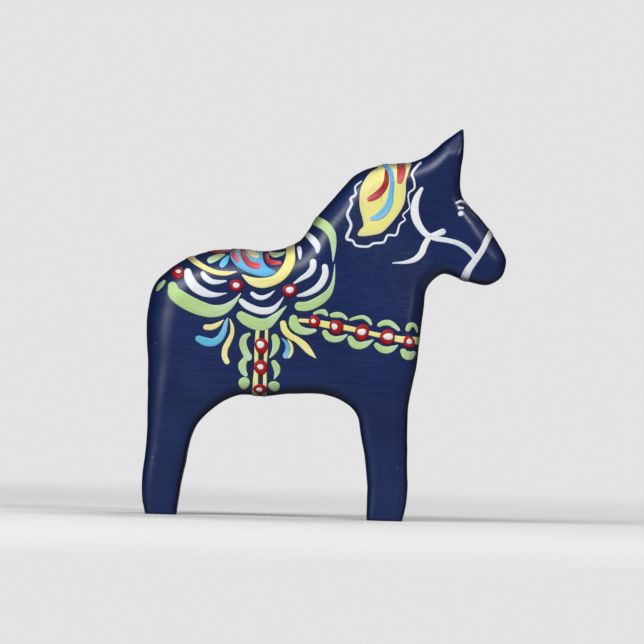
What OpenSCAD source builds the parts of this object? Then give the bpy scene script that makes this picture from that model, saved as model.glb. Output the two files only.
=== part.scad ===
// Dala horse: one block of pine, carved to a rounded outline, dipped in a blue base coat and
// painted with kurbits brushwork, colour over colour. It stands on z = 0 with its soles, faces
// +X, and the saw cut that parts its left and right legs runs along X.
// All lengths are in millimetres.

/* [Horse] */
// Height from the soles to the ear tips
height = 130; // [95:1:170]
// Length from the rump to the muzzle
length = 117.5; // [90:0.5:155]
// Width across the flanks
body_width = 40; // [34:0.5:54]
// Width across the cheeks
head_width = 22; // [18:0.5:28]
// Width that the muzzle loses on each side against the cheeks
muzzle_taper = 2.5; // [0:0.1:4]
// Width that each leg loses on its outer face, down to the sole
leg_taper = 1.5; // [0:0.1:3]

/* [Carving] */
// Width of the saw cut between the left and the right legs
leg_gap = 13; // [8:0.5:18]
// How far below the belly the saw cut's ceiling stays
leg_gap_drop = 1.6; // [1.1:0.1:10]
// Radius of the saw cut's two upper corners
leg_gap_radius = 4; // [1:0.5:4]
// Distance between the two ear tips
ear_spread = 10; // [7:0.5:13]
// Height that the ears stand above the notch between them
ear_height = 10; // [6:0.5:10]
// Strength of the carver's rounding, where 1 is the pattern's own
edge_rounding = 1; // [0.6:0.05:1.1]

/* [Paint] */
// Thickness of the base coat
coat = 0.3; // [0.2:0.05:0.6]
// Thickness of one brush stroke
layer = 0.15; // [0.1:0.05:0.3]
// Breadth of the brush, where 1 is the pattern's own
brush = 1; // [0.8:0.05:1.15]

/* [Hidden] */

// Colours of the wood and the paints.
PINE = "burlywood";
NAVY = "midnightblue";
WHITE = "ghostwhite";
YELLOW = "khaki";
GREEN = "darkseagreen";
BLUE = "steelblue";
RED = "firebrick";

// The pattern is drawn for a horse of this length and height, with x forward and z up.
PATTERN = [117.5, 130];
STEPS = 2;           // outline samples per span of the pattern
HALF = ceil(STEPS / 2);
EAR_POINT = 0.8;     // half of the blunt width of an ear tip
SOLE_DEPTH = 1.5;    // how far the pattern runs on below the soles before they are sawn off
BELLY = 40.1;        // lowest point of the pattern's belly
EDGE_ANGLES = [90, 60, 30, 0];
REACH = 80;          // longer than half of any horse, for cuts that run right through

function spot(p) = [p.x * length / PATTERN.x, p.y * height / PATTERN.y];

// ---- Carving ---------------------------------------------------------------------------------

// The side outline, clockwise as seen with the head on the right. Each point is [x, z, reach,
// depth]: how far in from the outline the edge rounding starts, and how deep across it goes.
OUTLINE = [
    // hind leg, rump and back
    [-57, -SOLE_DEPTH, 1.5, 1.5], [-58.3, 4, 3, 3], [-57.6, 26, 4, 4], [-57.9, 48, 6, 6],
    [-58.6, 66, 8.5, 9], [-56.6, 75.5, 9, 10], [-51.5, 81, 10, 11], [-43, 85.6, 10.5, 12],
    [-32, 87.7, 11, 13], [-18, 87.7, 10.5, 13],
    // crest and ears
    [-10.5, 90.2, 9, 11], [-3.5, 99.7, 8.5, 10], [3.5, 108, 8, 9], [8, 113.2, 7, 8],
    [16, 116.9, 6.5, 7.5], [26, 118.1, 5, 6.5], [31, 120, 3.5, 5], [37, 125.1, 2.5, 4.5],
    [43.3, 130, 1, 4], [43.4, 122, 2, 4],
    // face, jaw and chest
    [42.6, 114, 3, 5], [43.3, 108.2, 4.5, 6], [50, 100.3, 6, 6], [56, 92.3, 6, 5.5],
    [58.6, 87, 5, 4.5], [57.5, 82, 3.5, 4], [53.5, 79.2, 3.5, 3.5], [46, 80.2, 3.5, 4],
    [37.5, 82.1, 4, 5], [33.3, 78.2, 4.5, 6], [31.6, 68, 5, 7], [29.8, 50, 4.5, 6],
    // front leg
    [27.9, 40, 3.5, 4], [27.8, 22, 3, 3], [27.7, 4, 2.5, 2.5], [26.3, -SOLE_DEPTH, 1.5, 1.5],
    [15.7, -SOLE_DEPTH, 1.5, 1.5], [15.5, 12, 3, 3], [13.2, 27, 3, 3], [10.6, 36, 3, 3],
    // belly and hind leg
    [4, 40.3, 3, 4], [-10, 41.3, 3, 4], [-20, BELLY, 3, 4], [-28, 40.3, 3, 4], [-36, 36, 3, 3.5],
    [-42, 29.5, 3, 3], [-45.5, 16, 3, 3], [-47.5, 3, 2.5, 2.5], [-47.9, -SOLE_DEPTH, 1.5, 1.5]
];
SPANS = len(OUTLINE);
SAMPLES = SPANS * STEPS;

// Places in OUTLINE that the flank's facets are laid out between.
EAR_TIP = 18;
CORNERS = [0, EAR_TIP, 35, 36, 48];

function is_corner(i) = len([for (c = CORNERS) if (c == i) c]) > 0;
function wrap(i) = (i + SPANS) % SPANS;
function xz(i) = spot(OUTLINE[wrap(i)]);

// Direction of the outline at point i, weighted towards the shorter of its two spans.
function tangent(i) =
    let (back = xz(i) - xz(i - 1), ahead = xz(i + 1) - xz(i), b = norm(back), a = norm(ahead))
    (back / b * a + ahead / a * b) / (a + b);

// Point at fraction f of the span that starts at point i: a Hermite curve that is smooth at
// every point except the corners, where it leaves straight for the next point.
function curve(i, f) =
    let (p = xz(i), q = xz(i + 1), d = q - p, l = norm(d),
         m = is_corner(wrap(i)) ? d : tangent(i) * l,
         n = is_corner(wrap(i + 1)) ? d : tangent(i + 1) * l)
    p * (2 * f * f * f - 3 * f * f + 1) + m * (f * f * f - 2 * f * f + f)
    + q * (3 * f * f - 2 * f * f * f) + n * (f * f * f - f * f);

PATH = [for (i = [0:SPANS - 1], s = [0:STEPS - 1]) curve(i, s / STEPS)];

// Edge rounding [reach, depth] along the outline, blended from point to point.
EDGES = [
    for (i = [0:SPANS - 1], s = [0:STEPS - 1])
        let (p = OUTLINE[i], q = OUTLINE[wrap(i + 1)], f = s / STEPS)
        [p[2] + (q[2] - p[2]) * f, p[3] + (q[3] - p[3]) * f] * edge_rounding
];

// Unit vectors that point from the outline into the wood.
INWARD = [
    for (k = [0:SAMPLES - 1])
        let (d = PATH[(k + 1) % SAMPLES] - PATH[(k + SAMPLES - 1) % SAMPLES])
        [d.y, -d.x] / norm(d)
];

function smooth(f) = let (c = min(max(f, 0), 1)) c * c * (3 - 2 * c);

// Half of the width at a point of the side view: full at the flanks, narrower towards the soles,
// and carved in along the neck to the head and the muzzle.
NECK_DIRECTION = [0.75, 0.66];
NECK_START = 50;
NECK_END = 94;
MUZZLE_START = 44;
MUZZLE_END = 60;
function half_width(p) =
    let (q = [p.x * PATTERN.x / length, p.y * PATTERN.y / height],
         neck = smooth((q * NECK_DIRECTION - NECK_START) / (NECK_END - NECK_START)),
         muzzle = smooth((q.x - MUZZLE_START) / (MUZZLE_END - MUZZLE_START)),
         leg = min(max(1 - q.y / 40, 0), 1))
    body_width / 2 + neck * (head_width - body_width) / 2 - muzzle * muzzle_taper - leg * leg_taper;

// Point of the surface t outside the wood: outline sample k, side -1 or 1, edge angle 0 to 90.
function surface_point(k, side, angle, t) =
    let (reach = EDGES[k].x, depth = EDGES[k].y,
         base = PATH[k] + INWARD[k] * reach * (1 - cos(angle)),
         p = PATH[k] + INWARD[k] * ((reach + t) * (1 - cos(angle)) - t),
         y = half_width(base) + t - (depth + t) * (1 - sin(angle)))
    [p.x, side * y, p.y];

// Triangles of the flank between outline samples a0 up to a1 and b0 down to b1.
function strip(a0, a1, b0, b1) =
    let (na = a1 - a0, nb = b0 - b1, n = na + nb)
    [for (s = [0:n - 1])
        let (i = round(s * na / n), j = s - i, forward = round((s + 1) * na / n) > i)
        forward ? [a0 + i, a0 + i + 1, b0 - j] : [a0 + i, b0 - j - 1, b0 - j]];

// Ribs across the flank as [upper point, lower point], from the hind sole to the muzzle. A rib
// that shares a point with the next one makes a fan.
RIBS = [
    [[0, 48], [3, 44], [5, 43], [7, 42], [9, 41], [10, 40], [10, 39]],
    [[10, 32], [11, 31], [12, 30], [14, 29], [16, 28]],
    [[21, 28], [22, 27], [23, 26], [24, 25]]
];
FLANK = concat(
    [for (run = RIBS, r = [0:len(run) - 2])
        each strip(run[r][0] * STEPS, run[r + 1][0] * STEPS, run[r][1] * STEPS, run[r + 1][1] * STEPS)],
    [[10, 32, 39] * STEPS, [16, 21, 28] * STEPS],
    strip(48 * STEPS + HALF, 49 * STEPS, 48 * STEPS + HALF - 1, 48 * STEPS),
    strip(24 * STEPS, 24 * STEPS + HALF - 1, 25 * STEPS, 24 * STEPS + HALF),
    strip(16 * STEPS, EAR_TIP * STEPS, 21 * STEPS, EAR_TIP * STEPS + 1),
    strip(32 * STEPS, 35 * STEPS + HALF - 1, 39 * STEPS, 35 * STEPS + HALF)
);

// The whole rounded outline as one closed surface, t outside the wood, before any saw cut.
module blank(t) {
    rings = concat(
        [for (a = EDGE_ANGLES) [-1, a]],
        [for (i = [len(EDGE_ANGLES) - 1:-1:0]) [1, EDGE_ANGLES[i]]]
    );
    last = (len(rings) - 1) * SAMPLES;
    points = [for (ring = rings, k = [0:SAMPLES - 1]) surface_point(k, ring[0], ring[1], t)];
    sides = [
        for (r = [0:len(rings) - 2], k = [0:SAMPLES - 1])
            let (a = r * SAMPLES, b = a + SAMPLES, n = (k + 1) % SAMPLES)
            each [[a + n, a + k, b + k], [a + n, b + k, b + n]]
    ];
    near = [for (f = FLANK) [for (v = f) v % SAMPLES]];
    far = [for (f = near) [f[2], f[1], f[0]] + last * [1, 1, 1]];
    polyhedron(points, concat(near, sides, far), convexity = 6);
}

// Evaluates its children together, as one closed surface.
module one_mesh() {
    resize([0, 0, 0]) children();
}

// A profile drawn with y across and z up, run through the horse from tail to head.
module run_lengthwise() {
    translate([-REACH, 0, 0]) rotate([90, 0, 90]) linear_extrude(2 * REACH) children();
}

module leg_gap_profile() {
    ceiling = spot([0, BELLY]).y - leg_gap_drop;
    offset(r = leg_gap_radius, $fn = 24) offset(delta = -leg_gap_radius)
        translate([-leg_gap / 2, -REACH / 2]) square([leg_gap, ceiling + REACH / 2]);
}

// The two ears from the front: pointed, and parted by a notch that ends at their foot.
module ears_profile() {
    foot = height - ear_height;
    tip = ear_spread / 2;
    for (side = [-1, 1])
        polygon([
            [0, foot], [side * (tip - EAR_POINT), height], [side * (tip + EAR_POINT), height],
            [side * (tip + head_width / 2) / 2 + side, foot + ear_height / 2],
            [side * (head_width / 2 + 1), foot], [side * (head_width / 2 + 1), 0], [0, 0]
        ]);
}

// The carved horse, t outside the bare wood, with sawn soles, parted legs and parted ears.
module carving(t) {
    difference() {
        blank(t);
        run_lengthwise() offset(delta = -t) leg_gap_profile();
        run_lengthwise() difference() {
            translate([-REACH, height - ear_height]) square(2 * REACH);
            offset(delta = t) ears_profile();
        }
        translate([-REACH, -REACH, -2 * REACH]) cube(2 * REACH);
    }
}

module pine_body() {
    color(PINE) one_mesh() carving(0);
}

// The base coat wraps the whole horse and is open at the four sawn soles.
module blue_coat() {
    color(NAVY) one_mesh() difference() {
        carving(coat);
        carving(0);
    }
}

// ---- Brushwork -------------------------------------------------------------------------------

// A stroke is a list of [x, z, width] along its middle. Its outline runs up one side and down
// the other, with a blunt point at each end.
function heading(s, i) =
    let (d = spot(s[min(i + 1, len(s) - 1)]) - spot(s[max(i - 1, 0)])) d / norm(d);
function beside(s, i, side) =
    let (d = heading(s, i)) spot(s[i]) + [-d.y, d.x] * side * s[i][2] * brush / 2;
function beyond(s, i, way) = spot(s[i]) + heading(s, i) * way * s[i][2] * brush / 2;
function stroke_outline(s) =
    let (n = len(s) - 1)
    concat([beyond(s, 0, -1)], [for (i = [0:n]) beside(s, i, 1)],
           [beyond(s, n, 1)], [for (i = [n:-1:0]) beside(s, i, -1)]);

module strokes(list) {
    for (s = list) polygon(stroke_outline(s));
}

// Round dabs as [x, z, half of the length, half of the height].
module dabs(list) {
    for (d = list) translate(spot(d)) scale([d[2], d[3]] * brush) circle(r = 1, $fn = 12);
}

// A filled area, given by the points of its outline.
module area(points) {
    polygon([for (p = points) spot(p)]);
}

// One layer of paint on both flanks of the coat, and over the back where the shape reaches past
// it. The shape is the first child; the others are the later strokes that it stops at.
module paint(hue) {
    color(hue) one_mesh() intersection() {
        difference() {
            blank(coat + layer);
            blank(coat);
        }
        rotate([90, 0, 0]) linear_extrude(2 * REACH, center = true) difference() {
            children(0);
            if ($children > 1) children([1:$children - 1]);
        }
    }
}

// -- Neck and head

module mane_panel_shape() {
    area([
        [16.5, 122], [14, 115.2], [11.6, 112.6], [10.2, 109.5], [9.8, 106], [10.1, 102.5], [11, 99.5],
        [11.4, 97], [10.3, 95.6], [9.6, 94.1], [10.2, 93.6], [12.5, 93.7], [15.2, 94.2], [17.5, 95],
        [19.5, 97], [21.5, 99.4], [23.4, 102.3], [24.6, 105], [25, 108], [25, 112], [25.7, 115],
        [26.6, 118], [26.9, 122]
    ]);
}

module mane_panel_red_shape() {
    strokes([
        [[18.4, 115.4, 1], [18.5, 112, 1.8], [17.3, 109.2, 2.2], [15.2, 107, 2.4], [13.1, 105.8, 1.7]],
        [[23.3, 121, 3], [23.4, 116, 2.9], [23.2, 113.6, 2.5], [22.9, 112.1, 1.9]]
    ]);
}

module mane_panel_blue_shape() {
    strokes([
        [[16.6, 121, 1.8], [18.2, 117.2, 1.8], [19.7, 115.2, 1.7], [20.4, 112, 1.5], [20.2, 108, 1.8],
         [19.6, 104.5, 2.4], [17.9, 101.6, 2.7], [15.8, 100, 2.3], [14, 99.4, 1.4]]
    ]);
}

module mane_panel() {
    paint(YELLOW) {
        mane_panel_shape();
        mane_panel_red_shape();
        mane_panel_blue_shape();
    }
}

module mane_panel_red_strokes() {
    paint(RED) {
        mane_panel_red_shape();
        mane_panel_blue_shape();
    }
}

module mane_panel_blue_stroke() {
    paint(BLUE) mane_panel_blue_shape();
}

// The wavy white line that hangs round the mane panel.
module mane_scallop_line() {
    paint(WHITE) {
        strokes([
            [[29.6, 118.4, 0.9], [28.3, 117, 0.9], [26.9, 114.6, 1], [27.6, 112.5, 0.8], [27.8, 109.9, 0.7],
             [26, 108.2, 0.6], [26, 105.8, 0.5], [26.4, 103.4, 0.5], [24.3, 101, 0.5], [25.1, 99.4, 0.6],
             [23.3, 97.8, 0.7], [22.3, 94.4, 0.8], [19.5, 94.1, 0.9], [18.2, 91.8, 0.9], [15, 91.3, 0.9],
             [13, 90.2, 0.9], [9.2, 90.4, 1], [8, 91.9, 1], [6, 92.8, 1.4], [7.3, 97, 1.2],
             [6, 100.5, 1.2], [7.3, 104, 1.1], [6.9, 105.8, 1.2], [8.5, 107.3, 1], [8.3, 109.8, 0.8],
             [10.2, 111.6, 0.6]]
        ]);
        cheek_straps_shape();
    }
}

module cheek_straps_shape() {
    strokes([
        [[30.2, 109.8, 1.2], [28.7, 106.8, 2.1], [28.1, 103.5, 2.6], [28.5, 100.3, 2.7],
         [30, 97.3, 2.3], [32.3, 94.8, 2], [35.5, 93.6, 1.8], [39.5, 93, 1.6], [43, 92.1, 1.7],
         [46, 90.3, 1.8], [48.6, 87.5, 1.6]],
        [[34.3, 94.4, 1.9], [36, 95.2, 1.9], [37.6, 95.9, 2.1]],
        [[33, 93.6, 1.8], [31.7, 91, 2.1], [30.8, 88.6, 2.1], [28.7, 86.5, 1.8], [25.5, 85.4, 1.1],
         [21.4, 85, 0.4]]
    ]);
}

module noseband_shape() {
    strokes([
        [[54.4, 97.4, 2], [52.6, 94.3, 2], [50.7, 90, 2], [48, 86, 2.2], [46.3, 83.3, 2.5],
         [44.9, 79.6, 2.8]]
    ]);
}

module bridle_cheek_straps() {
    paint(WHITE) {
        cheek_straps_shape();
        noseband_shape();
    }
}

// The noseband runs over the nose and under the jaw to the other cheek.
module bridle_noseband() {
    paint(WHITE) noseband_shape();
}

module eye_marks() {
    paint(WHITE) union() {
        strokes([
            [[42.4, 105.8, 0.5], [43.8, 106, 0.8], [44.8, 105.7, 0.8]],
            [[42.7, 103.9, 0.9], [44, 103.9, 0.7]]
        ]);
        dabs([[43.4, 102, 1, 0.8]]);
    }
}

// -- Saddle

module saddle_rim_shape() {
    strokes([
        [[-12.7, 92, 2.6], [-12.4, 88, 2.8], [-12.3, 85.5, 3.2], [-13, 83, 3.4], [-14.8, 80.2, 3.3],
         [-17.5, 78.1, 3.1], [-21.5, 77.1, 3.3], [-25, 77.7, 2.5], [-27.8, 79.4, 0.6]],
        [[-47, 86.4, 2], [-44.5, 84.1, 1.9], [-42, 82.4, 1.7], [-39, 80.9, 1.6], [-36, 80, 1.6],
         [-33, 79.9, 1.4], [-30, 80.5, 0.4]]
    ]);
}

module flower_field_shape() {
    area([
        [-31.5, 92], [-32.4, 86], [-30.5, 83], [-27.8, 81.2], [-24.2, 79.8], [-20.5, 79.3], [-17.6, 80.2],
        [-17, 81], [-19.5, 82.3], [-21, 84], [-21.6, 86.5], [-21.6, 92]
    ]);
    strokes([[[-33, 85.4, 1], [-33.9, 83.9, 2.1], [-34.7, 82.7, 1.9]]]);
}

module flower_red_shape() {
    strokes([
        [[-39.5, 87.4, 1], [-36, 87, 1.3], [-33.2, 87.5, 1]],
        [[-31, 91, 1.6], [-31.2, 86.8, 1.6], [-30.4, 85.2, 1.8], [-29.9, 84.3, 1.6]],
        [[-28, 91, 1.8], [-28, 87, 1.8], [-27.1, 84.9, 2], [-25.5, 83.1, 2.2], [-23.2, 82.7, 2.4]],
        [[-20.3, 86.4, 1], [-19.7, 84.7, 1.4], [-18.2, 83.9, 1.7], [-15.8, 83.9, 1.2]]
    ]);
}

module flower_yellow_shape() {
    strokes([[[-25.4, 91, 1.6], [-26, 87.6, 1.8], [-24.8, 86.6, 2], [-23.4, 85.9, 1.7]]]);
}

module saddle_rim() {
    paint(YELLOW) saddle_rim_shape();
}

module saddle_flower_field() {
    paint(BLUE) {
        flower_field_shape();
        flower_red_shape();
        flower_yellow_shape();
        saddle_rim_shape();
    }
}

module saddle_flower_red() {
    paint(RED) {
        flower_red_shape();
        flower_yellow_shape();
        saddle_rim_shape();
    }
}

module saddle_flower_yellow() {
    paint(YELLOW) flower_yellow_shape();
}

module saddle_leaves() {
    paint(GREEN) {
        strokes([
            [[-34.2, 86.1, 0.6], [-35.6, 85.6, 1.5], [-37.2, 84.8, 2.1], [-38.7, 84.1, 2.1]],
            [[-19.2, 87.2, 1], [-17.6, 86.5, 1.6], [-15.4, 86.9, 1.1], [-14.4, 87.4, 0.6]]
        ]);
        saddle_rim_shape();
        flower_red_shape();
        flower_field_shape();
    }
}

module saddle_scallops_white() {
    paint(WHITE) {
        strokes([
            [[-46, 80, 2.4], [-45.4, 77.8, 3.2], [-43.6, 75.3, 3.2], [-41, 73.7, 2.9],
             [-38.5, 72.9, 2.1], [-36, 72.8, 1.3], [-33, 73.4, 0.3]],
            [[-41, 79.6, 1.6], [-40, 78.3, 2], [-38, 77.1, 1.8], [-35.8, 77, 1.4], [-33.4, 77.4, 0.7]],
            [[-28, 70.9, 1.8], [-26, 69.4, 2.3], [-22.5, 68.1, 2.3], [-19.5, 68, 2.3],
             [-17.2, 68.9, 1.8], [-15.5, 70.8, 1], [-14.3, 72.6, 0.4]],
            [[-24.5, 73.5, 1.4], [-23, 72.5, 1.6], [-21, 72.3, 1.5], [-19, 73.2, 1.1], [-17.3, 74.7, 0.3]],
            [[-4.8, 84.5, 2.2], [-4.9, 82.5, 2.2], [-6.3, 80.5, 2], [-8.5, 79, 1.5], [-10.8, 77.4, 0.7]],
            [[-0.9, 83, 2], [-0.7, 80.8, 2.2], [-1.7, 78, 2.3], [-3.7, 75.7, 2.2], [-6.8, 74, 1.6],
             [-9.5, 73.3, 0.8]],
            [[-6.6, 93.2, 2], [-4.8, 91.5, 2.4], [-3.6, 89.7, 2.2], [-3.5, 88, 1.2]],
            [[-9.6, 89, 1.4], [-9.3, 87.4, 1.4], [-9.2, 85.6, 0.8]]
        ]);
        saddle_rim_shape();
        saddle_rosettes_shape();
    }
}

module scallops_green_shape() {
    strokes([
        [[-50.8, 75.1, 3], [-50.1, 73, 4.4], [-48.2, 71.4, 4.8], [-45, 69.6, 4.9], [-41.5, 68.2, 4.7],
         [-38, 67.4, 4.2], [-34.5, 67.8, 3.5], [-31.8, 69.4, 2.4], [-29.8, 71.4, 1.2], [-28.4, 73.4, 0.4]],
        [[-55.6, 73.8, 1.2], [-54.6, 75.4, 2.2], [-53.2, 76.9, 1.4]],
        [[-28, 66.1, 3], [-26, 64.8, 3.8], [-22.5, 63.5, 4], [-19.5, 63.8, 3.6], [-17.3, 65.5, 2.6],
         [-15.3, 67.5, 1.5], [-13.3, 69.7, 0.4]],
        [[-9, 69.8, 2.9], [-6.5, 69.9, 3.1], [-4, 70.9, 3.1], [-1.5, 72.5, 2.9], [0.6, 74.6, 2.2],
         [1.8, 77.5, 1.3], [2.2, 80.5, 0.7], [2.3, 84, 0.2]],
        [[-7, 99.5, 3.2], [-4, 98, 3.2], [-1.2, 96.5, 3.2], [0.8, 94.2, 2.8], [1.6, 91.3, 2.1],
         [1.8, 88.3, 1.3], [1.7, 85, 0.3]]
    ]);
}

module saddle_scallops_green() {
    paint(GREEN) {
        scallops_green_shape();
        saddle_rosettes_shape();
    }
}

module saddle_rosettes_shape() {
    dabs([[-49.2, 79.5, 1.9, 2.1], [-29.9, 76.1, 2.2, 2.1], [-12.3, 75, 2.4, 2.1]]);
}

module saddle_centres_shape() {
    dabs([[-49, 79.9, 0.9, 0.7], [-29.9, 76.1, 1.1, 1], [-12.2, 75.1, 1.3, 1.1]]);
}

module saddle_rosettes() {
    paint(RED) {
        saddle_rosettes_shape();
        saddle_centres_shape();
    }
}

module saddle_rosette_centres() {
    paint(WHITE) saddle_centres_shape();
}

// -- Tassels that hang from the saddle's edge

module tassels_yellow_shape() {
    strokes([
        [[-39.4, 62, 1.8], [-37.4, 62.1, 1.9], [-35.4, 63.1, 1.4], [-33.8, 64.5, 0.3]],
        [[-31.6, 64.8, 0.4], [-30.8, 62.5, 1.1], [-30.8, 60, 1.4], [-31.8, 57.5, 1.8], [-32.9, 55, 1.9],
         [-33, 52.6, 1.9], [-32.2, 50.9, 1.8]],
        [[-14.1, 64, 2], [-13.5, 61.9, 2.2], [-11.8, 60.1, 2.1], [-9.3, 58.8, 2], [-7, 57, 2.4],
         [-5, 54.9, 1.9], [-3.1, 53.1, 0.4]],
        [[-12.3, 58.6, 0.4], [-11.4, 57.3, 0.9], [-10.9, 55.6, 1], [-11.3, 53.8, 1], [-12, 52.8, 0.5]]
    ]);
}

module tassels_yellow() {
    paint(YELLOW) tassels_yellow_shape();
}

module tassels_blue() {
    paint(BLUE) {
        strokes([
            [[-41.7, 58.1, 2.2], [-39.5, 57.3, 2.8], [-37, 57.1, 2.6], [-34.8, 58.5, 2.3],
             [-33.5, 61, 1.9], [-32.8, 64, 1.1], [-32.3, 65.2, 0.4]],
            [[-14.3, 59, 0.4], [-13.1, 58, 0.9], [-12.4, 56.5, 1.3], [-12.4, 54.8, 1.7], [-12.9, 53.5, 2]]
        ]);
        tassels_yellow_shape();
    }
}

// -- Collar round the chest

module collar_strap_shape() {
    strokes([
        [[-8.6, 65.2, 1.2], [-5.5, 65, 1.4], [0, 64.1, 2.2], [6.5, 63.2, 1.8], [10, 62.6, 1.6],
         [16, 61.4, 1.5], [20, 60.7, 1.7], [24.5, 60, 2.1], [29.5, 59.7, 2.4], [34, 59.5, 2.4]]
    ]);
}

module collar_rosettes_shape() {
    dabs([
        [-3.8, 65, 1.9, 2.1], [3.5, 63.4, 2.4, 2.4], [12, 61.9, 2.4, 2.7], [20.4, 60.6, 2.4, 2.7],
        [27.5, 59.2, 1.8, 2.2]
    ]);
}

module collar_centres_shape() {
    dabs([
        [-4.1, 65.1, 0.8, 0.8], [2.9, 63.5, 1, 1.1], [11.9, 62, 1.5, 1.1], [20.6, 60.7, 1.6, 1.2],
        [27.5, 59.3, 0.9, 1]
    ]);
}

// The strap carries on round the chest to the other side.
module collar_strap() {
    paint(YELLOW) {
        collar_strap_shape();
        collar_rosettes_shape();
    }
}

module collar_leaves() {
    paint(GREEN) {
        strokes([
            [[-10.7, 65.6, 2.7], [-10.5, 63.8, 3.2], [-8.6, 62.1, 2.8], [-6, 61.6, 2.2], [-3.6, 62, 1.2]],
            [[-3.9, 67.6, 0.9], [-2.3, 68.2, 1.3], [-0.8, 68.2, 1.8], [0.1, 67.4, 1.2]],
            [[1.9, 67.2, 1.4], [3.5, 67.4, 1.9], [5.3, 67.2, 1.5], [6.8, 66.1, 0.8]],
            [[8, 65.9, 0.8], [10, 66.6, 1.1], [12.2, 66.9, 1.3], [13.9, 66, 1.4], [14.8, 64.7, 0.9]],
            [[17.6, 64.5, 1.4], [19, 65.2, 1.8], [21, 65.2, 1.9], [22.9, 64.1, 1.5], [24, 63.1, 1]],
            [[27, 63.4, 1.6], [27.6, 64.6, 1.8], [28.9, 64.8, 1.4], [29.8, 63.8, 1], [30.1, 62.6, 0.5]],
            [[-0.2, 61.4, 1.9], [1, 59.9, 2.2], [3.2, 59.3, 2], [5.3, 59.8, 1.7], [7, 60.9, 0.5]],
            [[8.2, 59.7, 2], [9.3, 58.1, 2.6], [11.3, 57.5, 2.4], [13.6, 58.2, 1.9], [15.7, 59.5, 0.4]],
            [[16.9, 57.8, 1.8], [18.3, 56.7, 2.2], [20.3, 56.3, 2.3], [22.2, 56.9, 1.8], [23.8, 58, 0.4]],
            [[25.7, 56, 2], [26.8, 54.8, 2.8], [28.2, 54.8, 2.8], [29.2, 55.5, 1.6]]
        ]);
        collar_strap_shape();
        collar_rosettes_shape();
    }
}

module collar_rosettes() {
    paint(RED) {
        collar_rosettes_shape();
        collar_centres_shape();
    }
}

module collar_rosette_centres() {
    paint(WHITE) collar_centres_shape();
}

// -- Girth down the flank and under the belly

module girth_rosettes_shape() {
    dabs([[-21, 56.4, 2.3, 2.6], [-21, 49.4, 2.4, 2.4], [-21, 42.2, 2.4, 1.6]]);
}

module girth_centres_shape() {
    dabs([[-21.3, 56.8, 1.3, 1.2], [-21.1, 49.5, 1.1, 0.9], [-21.2, 42.2, 1.1, 0.6]]);
}

// The straps hang from the saddle and pass under the belly to the other side.
module girth_straps() {
    paint(YELLOW) {
        strokes([
            [[-22.3, 62.5, 1.5], [-22.6, 56, 1.5], [-22.5, 50, 1.6], [-22.6, 44, 2.1], [-22.7, 37, 2.1]],
            [[-19.5, 63, 1.2], [-19.4, 56, 1.3], [-19.6, 50, 1.3], [-19.5, 44, 1.4], [-19.5, 37, 1.4]]
        ]);
        scallops_green_shape();
        girth_rosettes_shape();
    }
}

module girth_leaves() {
    paint(GREEN) union() {
        strokes([
            [[-25.2, 60.1, 1.1], [-26.7, 58.9, 2], [-27.1, 56.8, 2.4], [-26.3, 54.5, 2.4],
             [-25.2, 52.6, 2.5]],
            [[-26.2, 51.8, 1.8], [-27.1, 49.9, 2.6], [-26.7, 48, 2.2], [-25.9, 46.8, 1.4]],
            [[-16.7, 59.4, 2.2], [-16.2, 57.8, 2.5], [-16.4, 55.7, 2.1], [-17.3, 53.8, 1.2],
             [-18.2, 52.6, 0.3]],
            [[-16.7, 51, 1.8], [-15.8, 49.5, 2.3], [-15.6, 47.9, 1.8], [-16.1, 46.5, 0.9],
             [-16.5, 45.6, 0.2]]
        ]);
        dabs([[-26.3, 44, 1.9, 1.9], [-16.4, 43.3, 1.8, 1.7]]);
    }
}

module girth_rosettes() {
    paint(RED) {
        girth_rosettes_shape();
        girth_centres_shape();
    }
}

module girth_rosette_centres() {
    paint(WHITE) girth_centres_shape();
}

pine_body();
blue_coat();
mane_panel();
mane_panel_red_strokes();
mane_panel_blue_stroke();
mane_scallop_line();
bridle_cheek_straps();
bridle_noseband();
eye_marks();
saddle_rim();
saddle_flower_field();
saddle_flower_red();
saddle_flower_yellow();
saddle_leaves();
saddle_scallops_white();
saddle_scallops_green();
saddle_rosettes();
saddle_rosette_centres();
tassels_yellow();
tassels_blue();
collar_strap();
collar_leaves();
collar_rosettes();
collar_rosette_centres();
girth_straps();
girth_leaves();
girth_rosettes();
girth_rosette_centres();
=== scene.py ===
"""Dala horse: a carved pine block under a navy base coat, with kurbits brushwork laid over it.

The carved horse is one closed field in millimetres, x forward, y across and z up, positive inside
the wood. The base coat and the wood are meshed from it, and each brush stroke is a grid of points
along and across the stroke that is laid on the same field, so paint and coat always meet.
"""

import logging
import math
from collections.abc import Callable
from dataclasses import dataclass, field
from enum import Enum

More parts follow.
